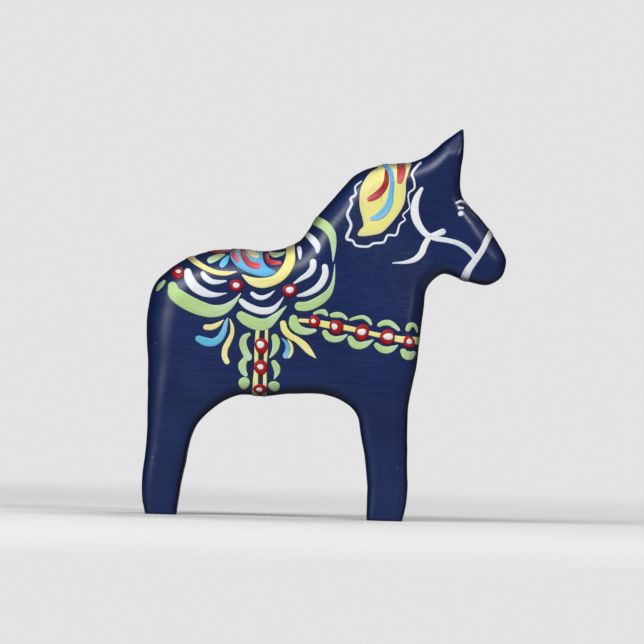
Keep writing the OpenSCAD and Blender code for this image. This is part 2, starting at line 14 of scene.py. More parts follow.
import bpy
import numpy as np
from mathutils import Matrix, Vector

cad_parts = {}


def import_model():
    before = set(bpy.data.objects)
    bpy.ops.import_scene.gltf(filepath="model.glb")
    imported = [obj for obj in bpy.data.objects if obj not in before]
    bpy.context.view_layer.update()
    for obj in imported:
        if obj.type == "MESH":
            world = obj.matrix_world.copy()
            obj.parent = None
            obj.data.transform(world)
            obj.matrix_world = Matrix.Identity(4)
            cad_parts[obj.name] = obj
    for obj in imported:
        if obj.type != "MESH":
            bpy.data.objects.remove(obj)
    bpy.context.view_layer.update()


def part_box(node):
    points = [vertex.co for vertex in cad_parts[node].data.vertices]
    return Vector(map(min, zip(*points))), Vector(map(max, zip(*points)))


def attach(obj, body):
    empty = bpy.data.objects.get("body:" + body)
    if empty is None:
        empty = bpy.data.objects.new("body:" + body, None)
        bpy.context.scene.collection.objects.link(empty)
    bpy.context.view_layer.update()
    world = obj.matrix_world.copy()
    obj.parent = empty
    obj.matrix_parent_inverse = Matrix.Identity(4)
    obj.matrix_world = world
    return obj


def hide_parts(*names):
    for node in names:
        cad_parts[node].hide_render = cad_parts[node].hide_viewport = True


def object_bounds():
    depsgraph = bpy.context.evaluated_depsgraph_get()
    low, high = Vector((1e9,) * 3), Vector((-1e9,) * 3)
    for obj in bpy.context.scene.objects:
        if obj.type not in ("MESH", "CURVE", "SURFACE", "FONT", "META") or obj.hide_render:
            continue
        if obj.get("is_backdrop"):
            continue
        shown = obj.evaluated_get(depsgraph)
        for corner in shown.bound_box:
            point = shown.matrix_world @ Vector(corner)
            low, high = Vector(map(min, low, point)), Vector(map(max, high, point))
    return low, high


MM = 0.001
TINY = 1e-6
BODY = "root"
LOG = logging.getLogger("dala_horse")


# ---- Paints ------------------------------------------------------------------------------------


class Paint(Enum):
    """The record's material slots, by what the maker calls them."""

    PINE = "pine"
    NAVY = "navy_paint"
    WHITE = "white_paint"
    YELLOW = "yellow_paint"
    GREEN = "green_paint"
    BLUE = "blue_paint"
    RED = "red_paint"


def linear(red: int, green: int, blue: int) -> tuple[float, float, float, float]:
    """Turns an 8-bit display colour into the linear colour a shader takes.

    Args:
        red: red from 0 to 255.
        green: green from 0 to 255.
        blue: blue from 0 to 255.

    Returns:
        Linear red, green, blue and an alpha of 1.
    """
    shares = np.array([red, green, blue]) / 255
    low, high = shares / 12.92, ((shares + 0.055) / 1.055) ** 2.4
    return (*(float(v) for v in np.where(shares <= 0.04045, low, high)), 1.0)


class NodeWriter:
    """Adds nodes to a tree and links them, each call one node."""

    def __init__(self, tree: bpy.types.NodeTree) -> None:
        """Keeps the tree that the nodes go in."""
        self.tree = tree

    def add(self, kind: str, **settings: object) -> bpy.types.Node:
        """Adds one node.

        Args:
            kind: Blender's name of the node's class, without ShaderNode.
            settings: properties of the node, by name.

        Returns:
            The new node.
        """
        node = self.tree.nodes.new(kind if kind.startswith("NodeGroup") else "ShaderNode" + kind)
        for name, value in settings.items():
            setattr(node, name, value)
        return node

    def feed(self, node: bpy.types.Node, **inputs: object) -> bpy.types.Node:
        """Gives a node its inputs.

        Args:
            node: the node.
            inputs: a value or another node's output for each socket, with _ for a space.

        Returns:
            The same node.
        """
        for name, value in inputs.items():
            socket = node.inputs[name.replace("_", " ")]
            if isinstance(value, bpy.types.NodeSocket):
                self.tree.links.new(value, socket)
            else:
                socket.default_value = value
        return node

    def math(
        self, operation: str, first: object, second: object = 0.0, clamp: bool = False
    ) -> object:
        """Adds a Math node.

        Args:
            operation: Blender's name of the operation.
            first: value or output.
            second: value or output.
            clamp: keep the result between 0 and 1.

        Returns:
            The node's output.
        """
        node = self.add("Math", operation=operation, use_clamp=clamp)
        for socket, value in zip(node.inputs, (first, second)):
            if isinstance(value, bpy.types.NodeSocket):
                self.tree.links.new(value, socket)
            else:
                socket.default_value = value
        return node.outputs[0]

    def blend(self, share: object, base: object, top: object) -> object:
        """Mixes two colours.

        Args:
            share: how much of the second colour shows, a value or an output.
            base: first colour, a value or an output.
            top: second colour, a value or an output.

        Returns:
            The mixed colour's output.
        """
        node = self.add("Mix", data_type="RGBA")
        for place, value in ((0, share), (6, base), (7, top)):
            if isinstance(value, bpy.types.NodeSocket):
                self.tree.links.new(value, node.inputs[place])
            else:
                node.inputs[place].default_value = value
        return node.outputs[2]

    def ramp(self, value: object, low: float, high: float) -> object:
        """Stretches a value so that low becomes 0 and high becomes 1, softly.

        Args:
            value: output to stretch.
            low: value that becomes 0.
            high: value that becomes 1.

        Returns:
            The stretched value's output.
        """
        node = self.add("MapRange", interpolation_type="SMOOTHSTEP")
        self.feed(node, Value=value, From_Min=low, From_Max=high)
        return node.outputs[0]


class Effects:
    """Shader node groups that several paints share, each made once."""

    def __init__(self) -> None:
        """Makes the three groups."""
        self.streaks = self._streaks()
        self.grain = self._grain()
        self.specks = self._specks()

    @staticmethod
    def _group(
        name: str, inputs: dict[str, tuple[str, float]], outputs: list[str]
    ) -> bpy.types.NodeTree:
        """Starts a group with its sockets.

        Args:
            name: the group's name.
            inputs: socket type and default of each input, by name.
            outputs: names of the outputs, which are values.

        Returns:
            The empty group.
        """
        tree = bpy.data.node_groups.new(name, "ShaderNodeTree")
        for label, (kind, default) in inputs.items():
            kind_of_socket = "NodeSocket" + kind
            socket = tree.interface.new_socket(label, in_out="INPUT", socket_type=kind_of_socket)
            if kind == "Float":
                socket.default_value = default
        for label in outputs:
            tree.interface.new_socket(label, in_out="OUTPUT", socket_type="NodeSocketFloat")
        return tree

    def _streaks(self) -> bpy.types.NodeTree:
        """Hair marks of a brush: noise drawn out along the stroke, and a mask of the stroke's edge.

        Returns:
            A group from the stroke's own UV to Streak, Edge and Height.
        """
        tree = self._group(
            "brush_streaks",
            {"Vector": ("Vector", 0), "Along": ("Float", 1.2), "Across": ("Float", 9.0)},
            ["Streak", "Edge", "Height"],
        )
        pen = NodeWriter(tree)
        source, sink = pen.add("NodeGroupInput"), pen.add("NodeGroupOutput")
        parts = pen.add("SeparateXYZ")
        tree.links.new(source.outputs["Vector"], parts.inputs[0])
        along = pen.math("MULTIPLY", parts.outputs["X"], source.outputs["Along"])
        across = pen.math("MULTIPLY", parts.outputs["Y"], source.outputs["Across"])
        drawn = pen.add("CombineXYZ")
        pen.feed(drawn, X=along, Y=across)
        noise = pen.add("TexNoise")
        pen.feed(noise, Vector=drawn.outputs[0], Scale=1.0, Detail=3.0, Roughness=0.55)
        streak = pen.ramp(noise.outputs["Fac"], 0.34, 0.7)
        from_middle = pen.math("ABSOLUTE", pen.math("SUBTRACT", parts.outputs["Y"], 0.5))
        ragged = pen.math("ADD", from_middle, pen.math("MULTIPLY", noise.outputs["Fac"], 0.08))
        edge = pen.ramp(ragged, 0.38, 0.53)
        height = pen.math("MULTIPLY", streak, pen.math("SUBTRACT", 1.0, edge))
        for name, value in (("Streak", streak), ("Edge", edge), ("Height", height)):
            tree.links.new(value, sink.inputs[name])
        return tree

    def _grain(self) -> bpy.types.NodeTree:
        """Wood fibre that shows through thin paint, and slow changes of its thickness.

        Returns:
            A group from Object coordinates to Cloud, Fibre and Height.
        """
        tree = self._group(
            "wood_fibre",
            {
                "Vector": ("Vector", 0),
                "Cloud Scale": ("Float", 45.0),
                "Fibre Scale": ("Float", 1500.0),
            },
            ["Cloud", "Fibre", "Height"],
        )
        pen = NodeWriter(tree)
        source, sink = pen.add("NodeGroupInput"), pen.add("NodeGroupOutput")
        cloud = pen.feed(
            pen.add("TexNoise"),
            Vector=source.outputs["Vector"],
            Scale=source.outputs["Cloud Scale"],
            Detail=3.0,
            Roughness=0.6,
        )
        drawn = pen.add("Mapping")
        pen.feed(drawn, Vector=source.outputs["Vector"], Scale=(0.07, 1.0, 1.0))
        fibre = pen.feed(
            pen.add("TexNoise"),
            Vector=drawn.outputs[0],
            Scale=source.outputs["Fibre Scale"],
            Detail=4.0,
            Roughness=0.65,
        )
        peel = pen.add("TexNoise")
        pen.feed(peel, Vector=source.outputs["Vector"], Scale=900.0, Detail=2.0, Roughness=0.5)
        skin = pen.math("MULTIPLY", peel.outputs["Fac"], 0.4)
        height = pen.math("ADD", fibre.outputs["Fac"], skin)
        tree.links.new(pen.ramp(cloud.outputs["Fac"], 0.3, 0.7), sink.inputs["Cloud"])
        tree.links.new(pen.ramp(fibre.outputs["Fac"], 0.35, 0.75), sink.inputs["Fibre"])
        tree.links.new(height, sink.inputs["Height"])
        return tree

    def _specks(self) -> bpy.types.NodeTree:
        """Dust specks and pinholes: small round dots, each where a cell's own chance falls high.

        Returns:
            A group from Object coordinates to Mask.
        """
        tree = self._group(
            "dust_specks",
            {"Vector": ("Vector", 0), "Density": ("Float", 0.05), "Spacing": ("Float", 300.0)},
            ["Mask"],
        )
        pen = NodeWriter(tree)
        source, sink = pen.add("NodeGroupInput"), pen.add("NodeGroupOutput")
        cells = pen.feed(
            pen.add("TexVoronoi", feature="F1"),
            Vector=source.outputs["Vector"],
            Scale=source.outputs["Spacing"],
        )
        dot = pen.math("SUBTRACT", 1.0, pen.ramp(cells.outputs["Distance"], 0.05, 0.2))
        chance = pen.add("SeparateColor")
        tree.links.new(cells.outputs["Color"], chance.inputs[0])
        kept = pen.math("LESS_THAN", chance.outputs[0], source.outputs["Density"])
        tree.links.new(pen.math("MULTIPLY", dot, kept), sink.inputs["Mask"])
        return tree


@dataclass(frozen=True)
class CoatFinish:
    """Semi-gloss base coat, with painted shade where it turns round the horse's edges."""

    name: str = "navy_base_coat"
    deep: tuple[int, int, int] = (11, 30, 74)
    full: tuple[int, int, int] = (17, 38, 86)
    worn: tuple[int, int, int] = (40, 60, 112)
    # edge and edge_share: colour and strength of the painted shade where the coat turns round the
    # edges.
    edge: tuple[int, int, int] = (5, 9, 25)
    dust: tuple[int, int, int] = (150, 160, 186)
    roughness: float = 0.30
    bump: float = 0.09
    shine: float = 0.42
    least_shine: float = 0.06
    fibre_share: float = 0.10
    dust_share: float = 0.35
    edge_share: float = 0.72

    def material(self, effects: Effects) -> bpy.types.Material:
        """Builds the coat's material.

        Args:
            effects: the shared node groups.

        Returns:
            The material.
        """
        made = bpy.data.materials.new(self.name)
        made.use_nodes = True
        pen = NodeWriter(made.node_tree)
        shader = made.node_tree.nodes["Principled BSDF"]
        place = pen.add("TexCoord").outputs["Object"]
        grain = pen.add("Group", node_tree=effects.grain)
        pen.feed(grain, Vector=place)
        specks = pen.add("Group", node_tree=effects.specks)
        pen.feed(specks, Vector=place, Density=0.012, Spacing=520.0)
        turned = pen.add("Attribute", attribute_name="turned")
        colour = pen.blend(grain.outputs["Cloud"], linear(*self.deep), linear(*self.full))
        fibre = pen.math("MULTIPLY", grain.outputs["Fibre"], self.fibre_share)
        colour = pen.blend(fibre, colour, linear(*self.worn))
        dust = pen.math("MULTIPLY", specks.outputs["Mask"], self.dust_share)
        colour = pen.blend(dust, colour, linear(*self.dust))
        # Painted shade: the coat darkens towards the edge colour where its surface turns away from
        # the flank.
        dim = pen.math("MULTIPLY", turned.outputs["Fac"], self.edge_share)
        colour = pen.blend(dim, colour, linear(*self.edge))
        rough = pen.math("ADD", self.roughness, fibre)
        bump = pen.add("Bump")
        pen.feed(bump, Strength=self.bump, Distance=0.0003, Height=grain.outputs["Height"])
        pen.feed(shader, Base_Color=colour, Roughness=rough, Normal=bump.outputs[0])
        # The shine falls towards least_shine under the painted shade, so those edges stay dark.
        shine = pen.math("MULTIPLY", pen.math("SUBTRACT", 1.0, turned.outputs["Fac"]), self.shine)
        pen.feed(shader, Specular_IOR_Level=pen.math("ADD", shine, self.least_shine))
        return made


@dataclass(frozen=True)
class BrushFinish:
    """One opaque colour laid with a round brush: hair marks along it, a thin, ragged edge, and
    painted shade where the surface turns round the horse's edges.
    """

    name: str
    full: tuple[int, int, int]
    thin: tuple[int, int, int]
    edge: tuple[int, int, int]
    smudge: tuple[int, int, int]
    tail: tuple[int, int, int]
    streak_share: float = 0.5
    edge_share: float = 0.5
    roughness: float = 0.38
    bump: float = 0.30
    shine: float = 0.30
    smudge_share: float = 0.6
    painted_shade_share: float = 0.78
    # Strength of the painted shade where the surface turns round the horse's edges.
    grain_share: float = 0.4
    streak_roughness: float = 0.14

    def material(self, effects: Effects) -> bpy.types.Material:
        """Builds the paint's material.

        Args:
            effects: the shared node groups.

        Returns:
            The material.
        """
        made = bpy.data.materials.new(self.name)
        made.use_nodes = True
        pen = NodeWriter(made.node_tree)
        shader = made.node_tree.nodes["Principled BSDF"]
        strokes = pen.add("UVMap", uv_map=StrokeMesh.UV)
        streaks = pen.add("Group", node_tree=effects.streaks)
        pen.feed(streaks, Vector=strokes.outputs[0])
        grain = pen.add("Group", node_tree=effects.grain)
        pen.feed(grain, Vector=pen.add("TexCoord").outputs["Object"])
        turned = pen.add("Attribute", attribute_name="turned")
        streak = pen.math("MULTIPLY", streaks.outputs["Streak"], self.streak_share)
        colour = pen.blend(streak, linear(*self.full), linear(*self.thin))
        smudge = pen.ramp(grain.outputs["Cloud"], 0.55, 1.0)
        smudge = pen.math("MULTIPLY", smudge, self.smudge_share)
        colour = pen.blend(smudge, colour, linear(*self.smudge))
        dry = pen.add("Attribute", attribute_name="tail").outputs["Fac"]
        hairs = pen.math("ADD", streaks.outputs["Streak"], 0.35)
        dry = pen.math("MULTIPLY", dry, hairs, clamp=True)
        colour = pen.blend(dry, colour, linear(*self.tail))
        rim = pen.math("MULTIPLY", streaks.outputs["Edge"], self.edge_share)
        colour = pen.blend(rim, colour, linear(*self.edge))
        # Painted shade: the paint darkens to a third of its smudge colour where the surface turns
        # away from the flank.
        dim = pen.math("MULTIPLY", turned.outputs["Fac"], self.painted_shade_share)
        colour = pen.blend(dim, colour, linear(*(v // 3 for v in self.smudge)))
        rough = pen.math("MULTIPLY", streaks.outputs["Streak"], self.streak_roughness)
        rough = pen.math("ADD", self.roughness, rough)
        pores = pen.math("MULTIPLY", grain.outputs["Height"], self.grain_share)
        height = pen.math("ADD", streaks.outputs["Height"], pores)
        bump = pen.add("Bump")
        pen.feed(bump, Strength=self.bump, Distance=0.0002, Height=height)
        pen.feed(shader, Base_Color=colour, Roughness=rough, Normal=bump.outputs[0])
        shader.inputs["Specular IOR Level"].default_value = self.shine
        return made


@dataclass(frozen=True)
class PineFinish:
    """Bare sawn pine, with year rings drawn out along the block."""

    name: str = "bare_pine"
    early: tuple[int, int, int] = (222, 190, 142)
    late: tuple[int, int, int] = (176, 126, 76)
    roughness: float = 0.72
    ring_share: float = 0.75
    fibre_share: float = 0.3

    def material(self, effects: Effects) -> bpy.types.Material:
        """Builds the wood's material.

        Args:
            effects: the shared node groups.

        Returns:
            The material.
        """
        made = bpy.data.materials.new(self.name)
        made.use_nodes = True
        pen = NodeWriter(made.node_tree)
        shader = made.node_tree.nodes["Principled BSDF"]
        place = pen.add("TexCoord").outputs["Object"]
        drawn = pen.add("Mapping")
        pen.feed(drawn, Vector=place, Scale=(0.15, 1.0, 0.3))
        rings = pen.add("TexWave", wave_type="RINGS", rings_direction="X")
        pen.feed(rings, Vector=drawn.outputs[0], Scale=190.0, Distortion=3.0, Detail=3.0)
        grain = pen.add("Group", node_tree=effects.grain)
        pen.feed(grain, Vector=place)
        ring = pen.math("MULTIPLY", rings.outputs["Fac"], self.ring_share)
        colour = pen.blend(ring, linear(*self.early), linear(*self.late))
        fibre = pen.math("MULTIPLY", grain.outputs["Fibre"], self.fibre_share)
        colour = pen.blend(fibre, colour, linear(*self.late))
        bump = pen.add("Bump")
        pen.feed(bump, Strength=0.4, Distance=0.0003, Height=grain.outputs["Height"])
        pen.feed(shader, Base_Color=colour, Normal=bump.outputs[0])
        shader.inputs["Roughness"].default_value = self.roughness
        return made


FINISHES = {
    Paint.PINE: PineFinish(),
    Paint.NAVY: CoatFinish(),
    Paint.WHITE: BrushFinish(
        "white_brush",
        full=(230, 230, 230),
        thin=(212, 219, 225),
        edge=(172, 188, 208),
        smudge=(226, 214, 214),
        tail=(194, 206, 222),
    ),
    Paint.YELLOW: BrushFinish(
        "yellow_brush",
        full=(226, 219, 124),
        thin=(233, 228, 158),
        edge=(204, 202, 142),
        smudge=(226, 209, 150),
        tail=(236, 231, 180),
    ),
    Paint.GREEN: BrushFinish(
        "green_brush",
        full=(170, 205, 132),
        thin=(188, 213, 158),
        edge=(174, 203, 158),
        smudge=(158, 186, 126),
        tail=(198, 213, 200),
    ),
    Paint.BLUE: BrushFinish(
        "blue_brush",
        full=(66, 166, 214),
        thin=(128, 194, 220),
        edge=(84, 150, 196),
        smudge=(96, 182, 208),
        tail=(150, 200, 226),
    ),
    Paint.RED: BrushFinish(
        "red_brush",
        full=(162, 6, 14),
        thin=(172, 14, 24),
        edge=(98, 8, 16),
        smudge=(134, 8, 20),
        tail=(226, 112, 130),
        streak_share=0.35,
    ),
}


# ---- The carved horse --------------------------------------------------------------------------


def smooth(share: np.ndarray) -> np.ndarray:
    """Eases 0 to 1: the cubic 3f^2 - 2f^3 of the share kept between 0 and 1."""
    kept = np.clip(share, 0, 1)
    return kept * kept * (3 - 2 * kept)


def soft_min(first: np.ndarray, second: np.ndarray, width: float) -> np.ndarray:
    """Rounds the edge where two fields meet.

    The smaller field, less h^2 width / 4, where h falls from 1 to 0 as they part by width.

    Args:
        first: field that is positive inside.
        second: field that is positive inside.
        width: how far apart the fields still round each other off.

    Returns:
        The rounded intersection.
    """
    near = np.maximum(width - np.abs(first - second), 0) / width
    return np.minimum(first, second) - near * near * width / 4


@dataclass
class Carving:
    """The horse's outline, its widths and its saw cuts, as one field over space."""

    height: float = 130.0
    body_width: float = 40.0
    head_width: float = 22.0
    muzzle_taper: float = 2.5
    leg_taper: float = 1.5
    leg_gap: float = 13.0
    leg_gap_top: float = 38.5
    leg_gap_radius: float = 4.0
    ear_spread: float = 10.0
    ear_height: float = 10.0
    ear_point: float = 0.8
    knife: float = 0.9
    gap_knife: float = 3.0
    neck_way: tuple[float, float] = (0.75, 0.66)
    neck_run: tuple[float, float] = (50.0, 94.0)
    muzzle_run: tuple[float, float] = (44.0, 60.0)
    unevenness: float = 0.10
    leg_run: float = 40.0
    samples: int = 9
    table_step: float = 0.4
    table_margin: float = 5.0
    table_batch: int = 4096
    slope_step: float = 0.25
    look_step: float = 0.5
    stride: float = 0.6
    wrap: float = 2.4
    # Width of the band where edge shade is painted: this share of the rounding's reach, plus the
    # least width in mm.
    shade_band_share: float = 0.30
    shade_band_least: float = 0.35
    past_middle: float = 0.9
    # Side outline, clockwise with the head on the right: x, z, then how far in from the outline the
    # rounding of the edge starts and how deep across the horse it goes.
    outline: tuple[tuple[float, float, float, float], ...] = (
        # hind leg, rump and back
        (-57, -1.5, 1.5, 1.5), (-58.3, 4, 3, 3), (-57.6, 26, 4.5, 4), (-57.9, 48, 7.5, 7),
        (-58.6, 66, 10.5, 9.5), (-56.6, 75.5, 10.5, 10), (-51.5, 81, 10, 11), (-43, 85.6, 10.5, 12),
        (-32, 87.7, 11, 13), (-18, 87.7, 10.5, 13),
        # crest and ears
        (-10.5, 90.2, 9, 11), (-3.5, 99.7, 8.5, 10), (3.5, 108, 8, 9), (8, 113.2, 7, 8),
        (16, 116.9, 6.5, 7.5), (26, 118.1, 6.5, 7), (31, 120, 6, 6), (37, 125.1, 5.5, 5),
        (43.3, 130, 2, 4), (43.4, 122, 2, 4),
        # face, jaw and chest
        (42.6, 114, 3, 5), (43.3, 108.2, 4.5, 6), (50, 100.3, 6, 6), (56, 92.3, 6, 5.5),
        (58.6, 87, 5, 4.5), (57.5, 82, 3.5, 4), (53.5, 79.2, 3.5, 3.5), (46, 80.2, 3.5, 4),
        (37.5, 82.1, 4, 5), (33.3, 78.2, 4.5, 6), (31.6, 68, 5, 7), (29.8, 50, 4.5, 6),
        # front leg
        (27.9, 40, 3.5, 4), (27.8, 22, 3, 3), (27.7, 4, 2.5, 2.5), (26.3, -1.5, 1.5, 1.5),
        (15.7, -1.5, 1.5, 1.5), (15.5, 12, 3, 3), (13.2, 27, 3, 3), (10.6, 36, 3, 3),
        # belly and hind leg
        (4, 40.3, 3.5, 4.5), (-10, 41.3, 4, 5), (-20, 40.1, 4.5, 5), (-28, 40.3, 4, 5),
        (-36, 36, 3.5, 4), (-42, 29.5, 3, 3), (-45.5, 16, 3, 3), (-47.5, 3, 2.5, 2.5),
        (-47.9, -1.5, 1.5, 1.5),
    )
    corners: tuple[int, ...] = (0, 18, 35, 36, 48)

    def __post_init__(self) -> None:
        """Draws the outline and tables the distance to it."""
        self._draw()
        self._tabulate()

    def _draw(self) -> None:
        """Runs a Hermite curve through the outline's points, straight at its corners."""
        pattern = np.array(self.outline, float)
        spots = pattern[:, :2]
        ahead = np.roll(spots, -1, 0) - spots
        span = np.linalg.norm(ahead, axis=1, keepdims=True)
        back, back_span = np.roll(ahead, 1, 0), np.roll(span, 1, 0)
        tangent = (back / back_span * span + ahead / span * back_span) / (span + back_span)
        corner = np.zeros((len(spots), 1), bool)
        corner[list(self.corners)] = True
        leaving = np.where(corner, ahead, tangent * span)
        reaching = np.where(np.roll(corner, -1, 0), ahead, np.roll(tangent, -1, 0) * span)
        f = (np.arange(self.samples) / self.samples)[None, :, None]
        nearer, farther = spots[:, None], np.roll(spots, -1, 0)[:, None]
        curve = (
            nearer * (2 * f**3 - 3 * f**2 + 1)
            + leaving[:, None] * (f**3 - 2 * f**2 + f)
            + farther * (3 * f**2 - 2 * f**3)
            + reaching[:, None] * (f**3 - f**2)
        )
        edges = pattern[:, None, 2:] * (1 - f) + np.roll(pattern, -1, 0)[:, None, 2:] * f
        self.path = curve.reshape(-1, 2)
        self.edges = edges.reshape(-1, 2)
        run = np.cumsum(np.linalg.norm(np.roll(self.path, -1, 0) - self.path, axis=1))
        inward = np.roll(self.path, -1, 0) - np.roll(self.path, 1, 0)
        inward = np.stack([inward[:, 1], -inward[:, 0]], 1)
        inward /= np.linalg.norm(inward, axis=1, keepdims=True)
        waver = np.sin(run * 0.61) + 0.7 * np.sin(run * 0.23 + 1) + 0.6 * np.sin(run * 1.13 + 2)
        self.path = self.path + inward * (waver * self.unevenness * 0.4)[:, None]

    def _tabulate(self) -> None:
        """Tables, over the side view, the distance in from the outline and the edge's rounding.

        The distance is to the nearest piece of the outline, positive inside. The rounding's reach
        and depth are the mean of the outline's own, each weighted by 1 / distance^4.
        """
        step = self.table_step
        low = self.path.min(0) - self.table_margin
        high = self.path.max(0) + self.table_margin
        self.table_low = low
        xs, zs = np.arange(low[0], high[0], step), np.arange(low[1], high[1], step)
        self.table_shape = (len(xs), len(zs))
        points = np.stack(np.meshgrid(xs, zs, indexing="ij"), -1).reshape(-1, 2).astype(np.float32)
        start = self.path.astype(np.float32)
        along = np.roll(start, -1, 0) - start
        length = (along**2).sum(1)
        table = np.empty((len(points), 3), np.float32)
        edges = self.edges.astype(np.float32)
        for first in range(0, len(points), self.table_batch):
            batch = slice(first, first + self.table_batch)
            part = points[batch, None]
            away = part - start
            share = np.clip((away * along).sum(-1) / length, 0, 1)
            near = away - share[..., None] * along
            distance = (near**2).sum(-1)
            up = (start[:, 1] > part[..., 1]) != (np.roll(start, -1, 0)[:, 1] > part[..., 1])
            rise = np.where(along[:, 1] == 0, 1e-9, along[:, 1])
            crossing = start[:, 0] + (part[..., 1] - start[:, 1]) / rise * along[:, 0]
            inside = (up & (part[..., 0] < crossing)).sum(1) % 2 == 1
            weight = 1 / (distance + 0.3) ** 2
            table[batch, 0] = np.sqrt(distance.min(1)) * np.where(inside, 1, -1)
            table[batch, 1:] = weight @ edges / weight.sum(1)[:, None]
        self.table = table.reshape(*self.table_shape, 3)

    def look_up(self, x: np.ndarray, z: np.ndarray) -> np.ndarray:
        """Reads the table between its points, by the four nearest.

        Args:
            x: place along the horse.
            z: height.

        Returns:
            Distance in from the outline, reach and depth of the rounding, on the last axis.
        """
        u = np.clip((x - self.table_low[0]) / self.table_step, 0, self.table_shape[0] - 1.001)
        v = np.clip((z - self.table_low[1]) / self.table_step, 0, self.table_shape[1] - 1.001)
        i, j = u.astype(int), v.astype(int)
        a, b = (u - i)[..., None], (v - j)[..., None]
        t = self.table
        lower = t[i, j] * (1 - a) + t[i + 1, j] * a
        upper = t[i, j + 1] * (1 - a) + t[i + 1, j + 1] * a
        return lower * (1 - b) + upper * b

    def half_width(self, x: np.ndarray, z: np.ndarray) -> np.ndarray:
        """Half of the width: full at the flanks, less at the neck, head, muzzle and soles.

        Args:
            x: place along the horse.
            z: height.

        Returns:
            Half of the width, with the slight unevenness of knife work.
        """
        neck = x * self.neck_way[0] + z * self.neck_way[1] - self.neck_run[0]
        neck = smooth(neck / (self.neck_run[1] - self.neck_run[0]))
        muzzle = smooth((x - self.muzzle_run[0]) / (self.muzzle_run[1] - self.muzzle_run[0]))
        leg = np.clip(1 - z / self.leg_run, 0, 1)
        waver = np.sin(x * 0.19 + z * 0.11) * np.sin(z * 0.17 - x * 0.05 + 1)
        return (
            self.body_width / 2
            + neck * (self.head_width - self.body_width) / 2
            - muzzle * self.muzzle_taper
            - leg * self.leg_taper
            + (waver - 1) * self.unevenness
        )

    def field(self, points: np.ndarray, out: float) -> np.ndarray:
        """How far inside the horse a point is, about in millimetres.

        Across the horse and in from the outline the edge is a quarter of an ellipse. The saw cut
        and the ears' front profile are cut off it, with the edges between them rounded by knife.

        Args:
            points: x, y and z on the last axis.
            out: how far outside the bare wood the surface lies.

        Returns:
            Positive inside the surface, 0 on it and negative outside.
        """
        x, y, z = points[..., 0], np.abs(points[..., 1]), points[..., 2]
        near = self.look_up(x, z)
        distance, reach, depth = near[..., 0] + out, near[..., 1] + out, near[..., 2] + out
        inner = self.half_width(x, z) + out - depth
        in_plane = np.maximum(1 - distance / reach, 0)
        across = np.maximum((y - inner) / depth, 0)
        body = (1 - np.hypot(in_plane, across)) * (reach + depth) / 2
        flat = self.leg_gap / 2 - self.leg_gap_radius
        side, above = y - flat, z - self.leg_gap_top + self.leg_gap_radius
        gap = np.hypot(np.maximum(side, 0), np.maximum(above, 0))
        gap = gap + np.minimum(np.maximum(side, above), 0)
        body = soft_min(body, gap - self.leg_gap_radius + out, self.gap_knife)
        return soft_min(body, self._ears(y, z) + out, self.knife)

    def _ears(self, y: np.ndarray, z: np.ndarray) -> np.ndarray:
        """Distance inside the ears' front profile, which parts them and points them.

        Args:
            y: distance from the middle plane.
            z: height.

        Returns:
            The least of the distances to the notch's line and the two lines of the outer edge.
        """
        up, tip, cheek = z - self.height + self.ear_height, self.ear_spread / 2, self.head_width / 2
        notch = tip - self.ear_point
        inner = (y * self.ear_height - up * notch) / math.hypot(self.ear_height, notch)
        wide, half = cheek + 1, self.ear_height / 2
        bulge = (tip + cheek) / 2 + 1
        lower = ((wide - y) * half - up * (wide - bulge)) / math.hypot(half, wide - bulge)
        lean = bulge - tip - self.ear_point
        upper = ((bulge - y) * half - (up - half) * lean) / math.hypot(half, lean)
        return soft_min(soft_min(lower, upper, self.knife), inner, self.knife)

    def normal(self, points: np.ndarray, out: float) -> np.ndarray:
        """Outward direction of the field at points, by central differences.

        Args:
            points: x, y and z on the last axis.
            out: how far outside the bare wood the surface lies.

        Returns:
            The field's gradient turned outwards, not of unit length.
        """
        step = self.slope_step
        slopes = [
            self.field(points - step * way, out) - self.field(points + step * way, out)
            for way in np.eye(3)
        ]
        return np.stack(slopes, -1) / (2 * step)

    def settle(
        self, points: np.ndarray, out: float, level: bool = False, times: int = 3
    ) -> np.ndarray:
        """Moves points onto the surface along the field's slope.

        Args:
            points: x, y and z on the last axis.
            out: how far outside the bare wood the surface lies.
            level: keep each point's height.
            times: number of steps.

        Returns:
            The moved points.
        """
        for _ in range(times):
            slope = self.normal(points, out)
            if level:
                slope[..., 2] = 0
            size = np.maximum((slope**2).sum(-1, keepdims=True), 0.05)
            move = self.field(points, out)[..., None] * slope / size
            points = points + np.clip(move, -self.stride, self.stride)
        return points

    def on_flank(self, spots: np.ndarray, out: float) -> np.ndarray:
        """Places side-view points on the left flank, over the edge where they pass it.

        Inside the outline a point goes straight across to the surface. Past the outline it goes to
        the nearest point of it, and then towards the middle plane.

        Args:
            spots: x and z on the last axis.
            out: how far outside the bare wood the surface lies.

        Returns:
            Points of the surface, y positive.
        """
        x, z = spots[..., 0], spots[..., 1]
        near = self.look_up(x, z)
        step = self.look_step
        slope_x = self.look_up(x + step, z)[..., 0] - self.look_up(x - step, z)[..., 0]
        slope_z = self.look_up(x, z + step)[..., 0] - self.look_up(x, z - step)[..., 0]
        size = np.maximum(np.hypot(slope_x, slope_z), TINY)
        past = np.maximum(-(near[..., 0] + out), 0)
        x, z = x + past * slope_x / size, z + past * slope_z / size
        near = self.look_up(x, z)
        distance, reach, depth = near[..., 0] + out, near[..., 1] + out, near[..., 2] + out
        inner = self.half_width(x, z) + out - depth
        in_plane = np.clip(1 - distance / reach, 0, 1)
        y = inner + depth * np.sqrt(1 - in_plane**2)
        over = np.clip(1 - past / self.wrap, 0, 1)
        y = np.where(past > 0, inner * over - self.past_middle * (1 - over), y)
        points = np.stack([x, y, z], -1)
        settled = self.settle(np.where(points[..., 1:2] < 0, points * [1, 0, 1], points), out)
        return np.where(points[..., 1:2] < 0, settled + points * [0, 1, 0], settled)

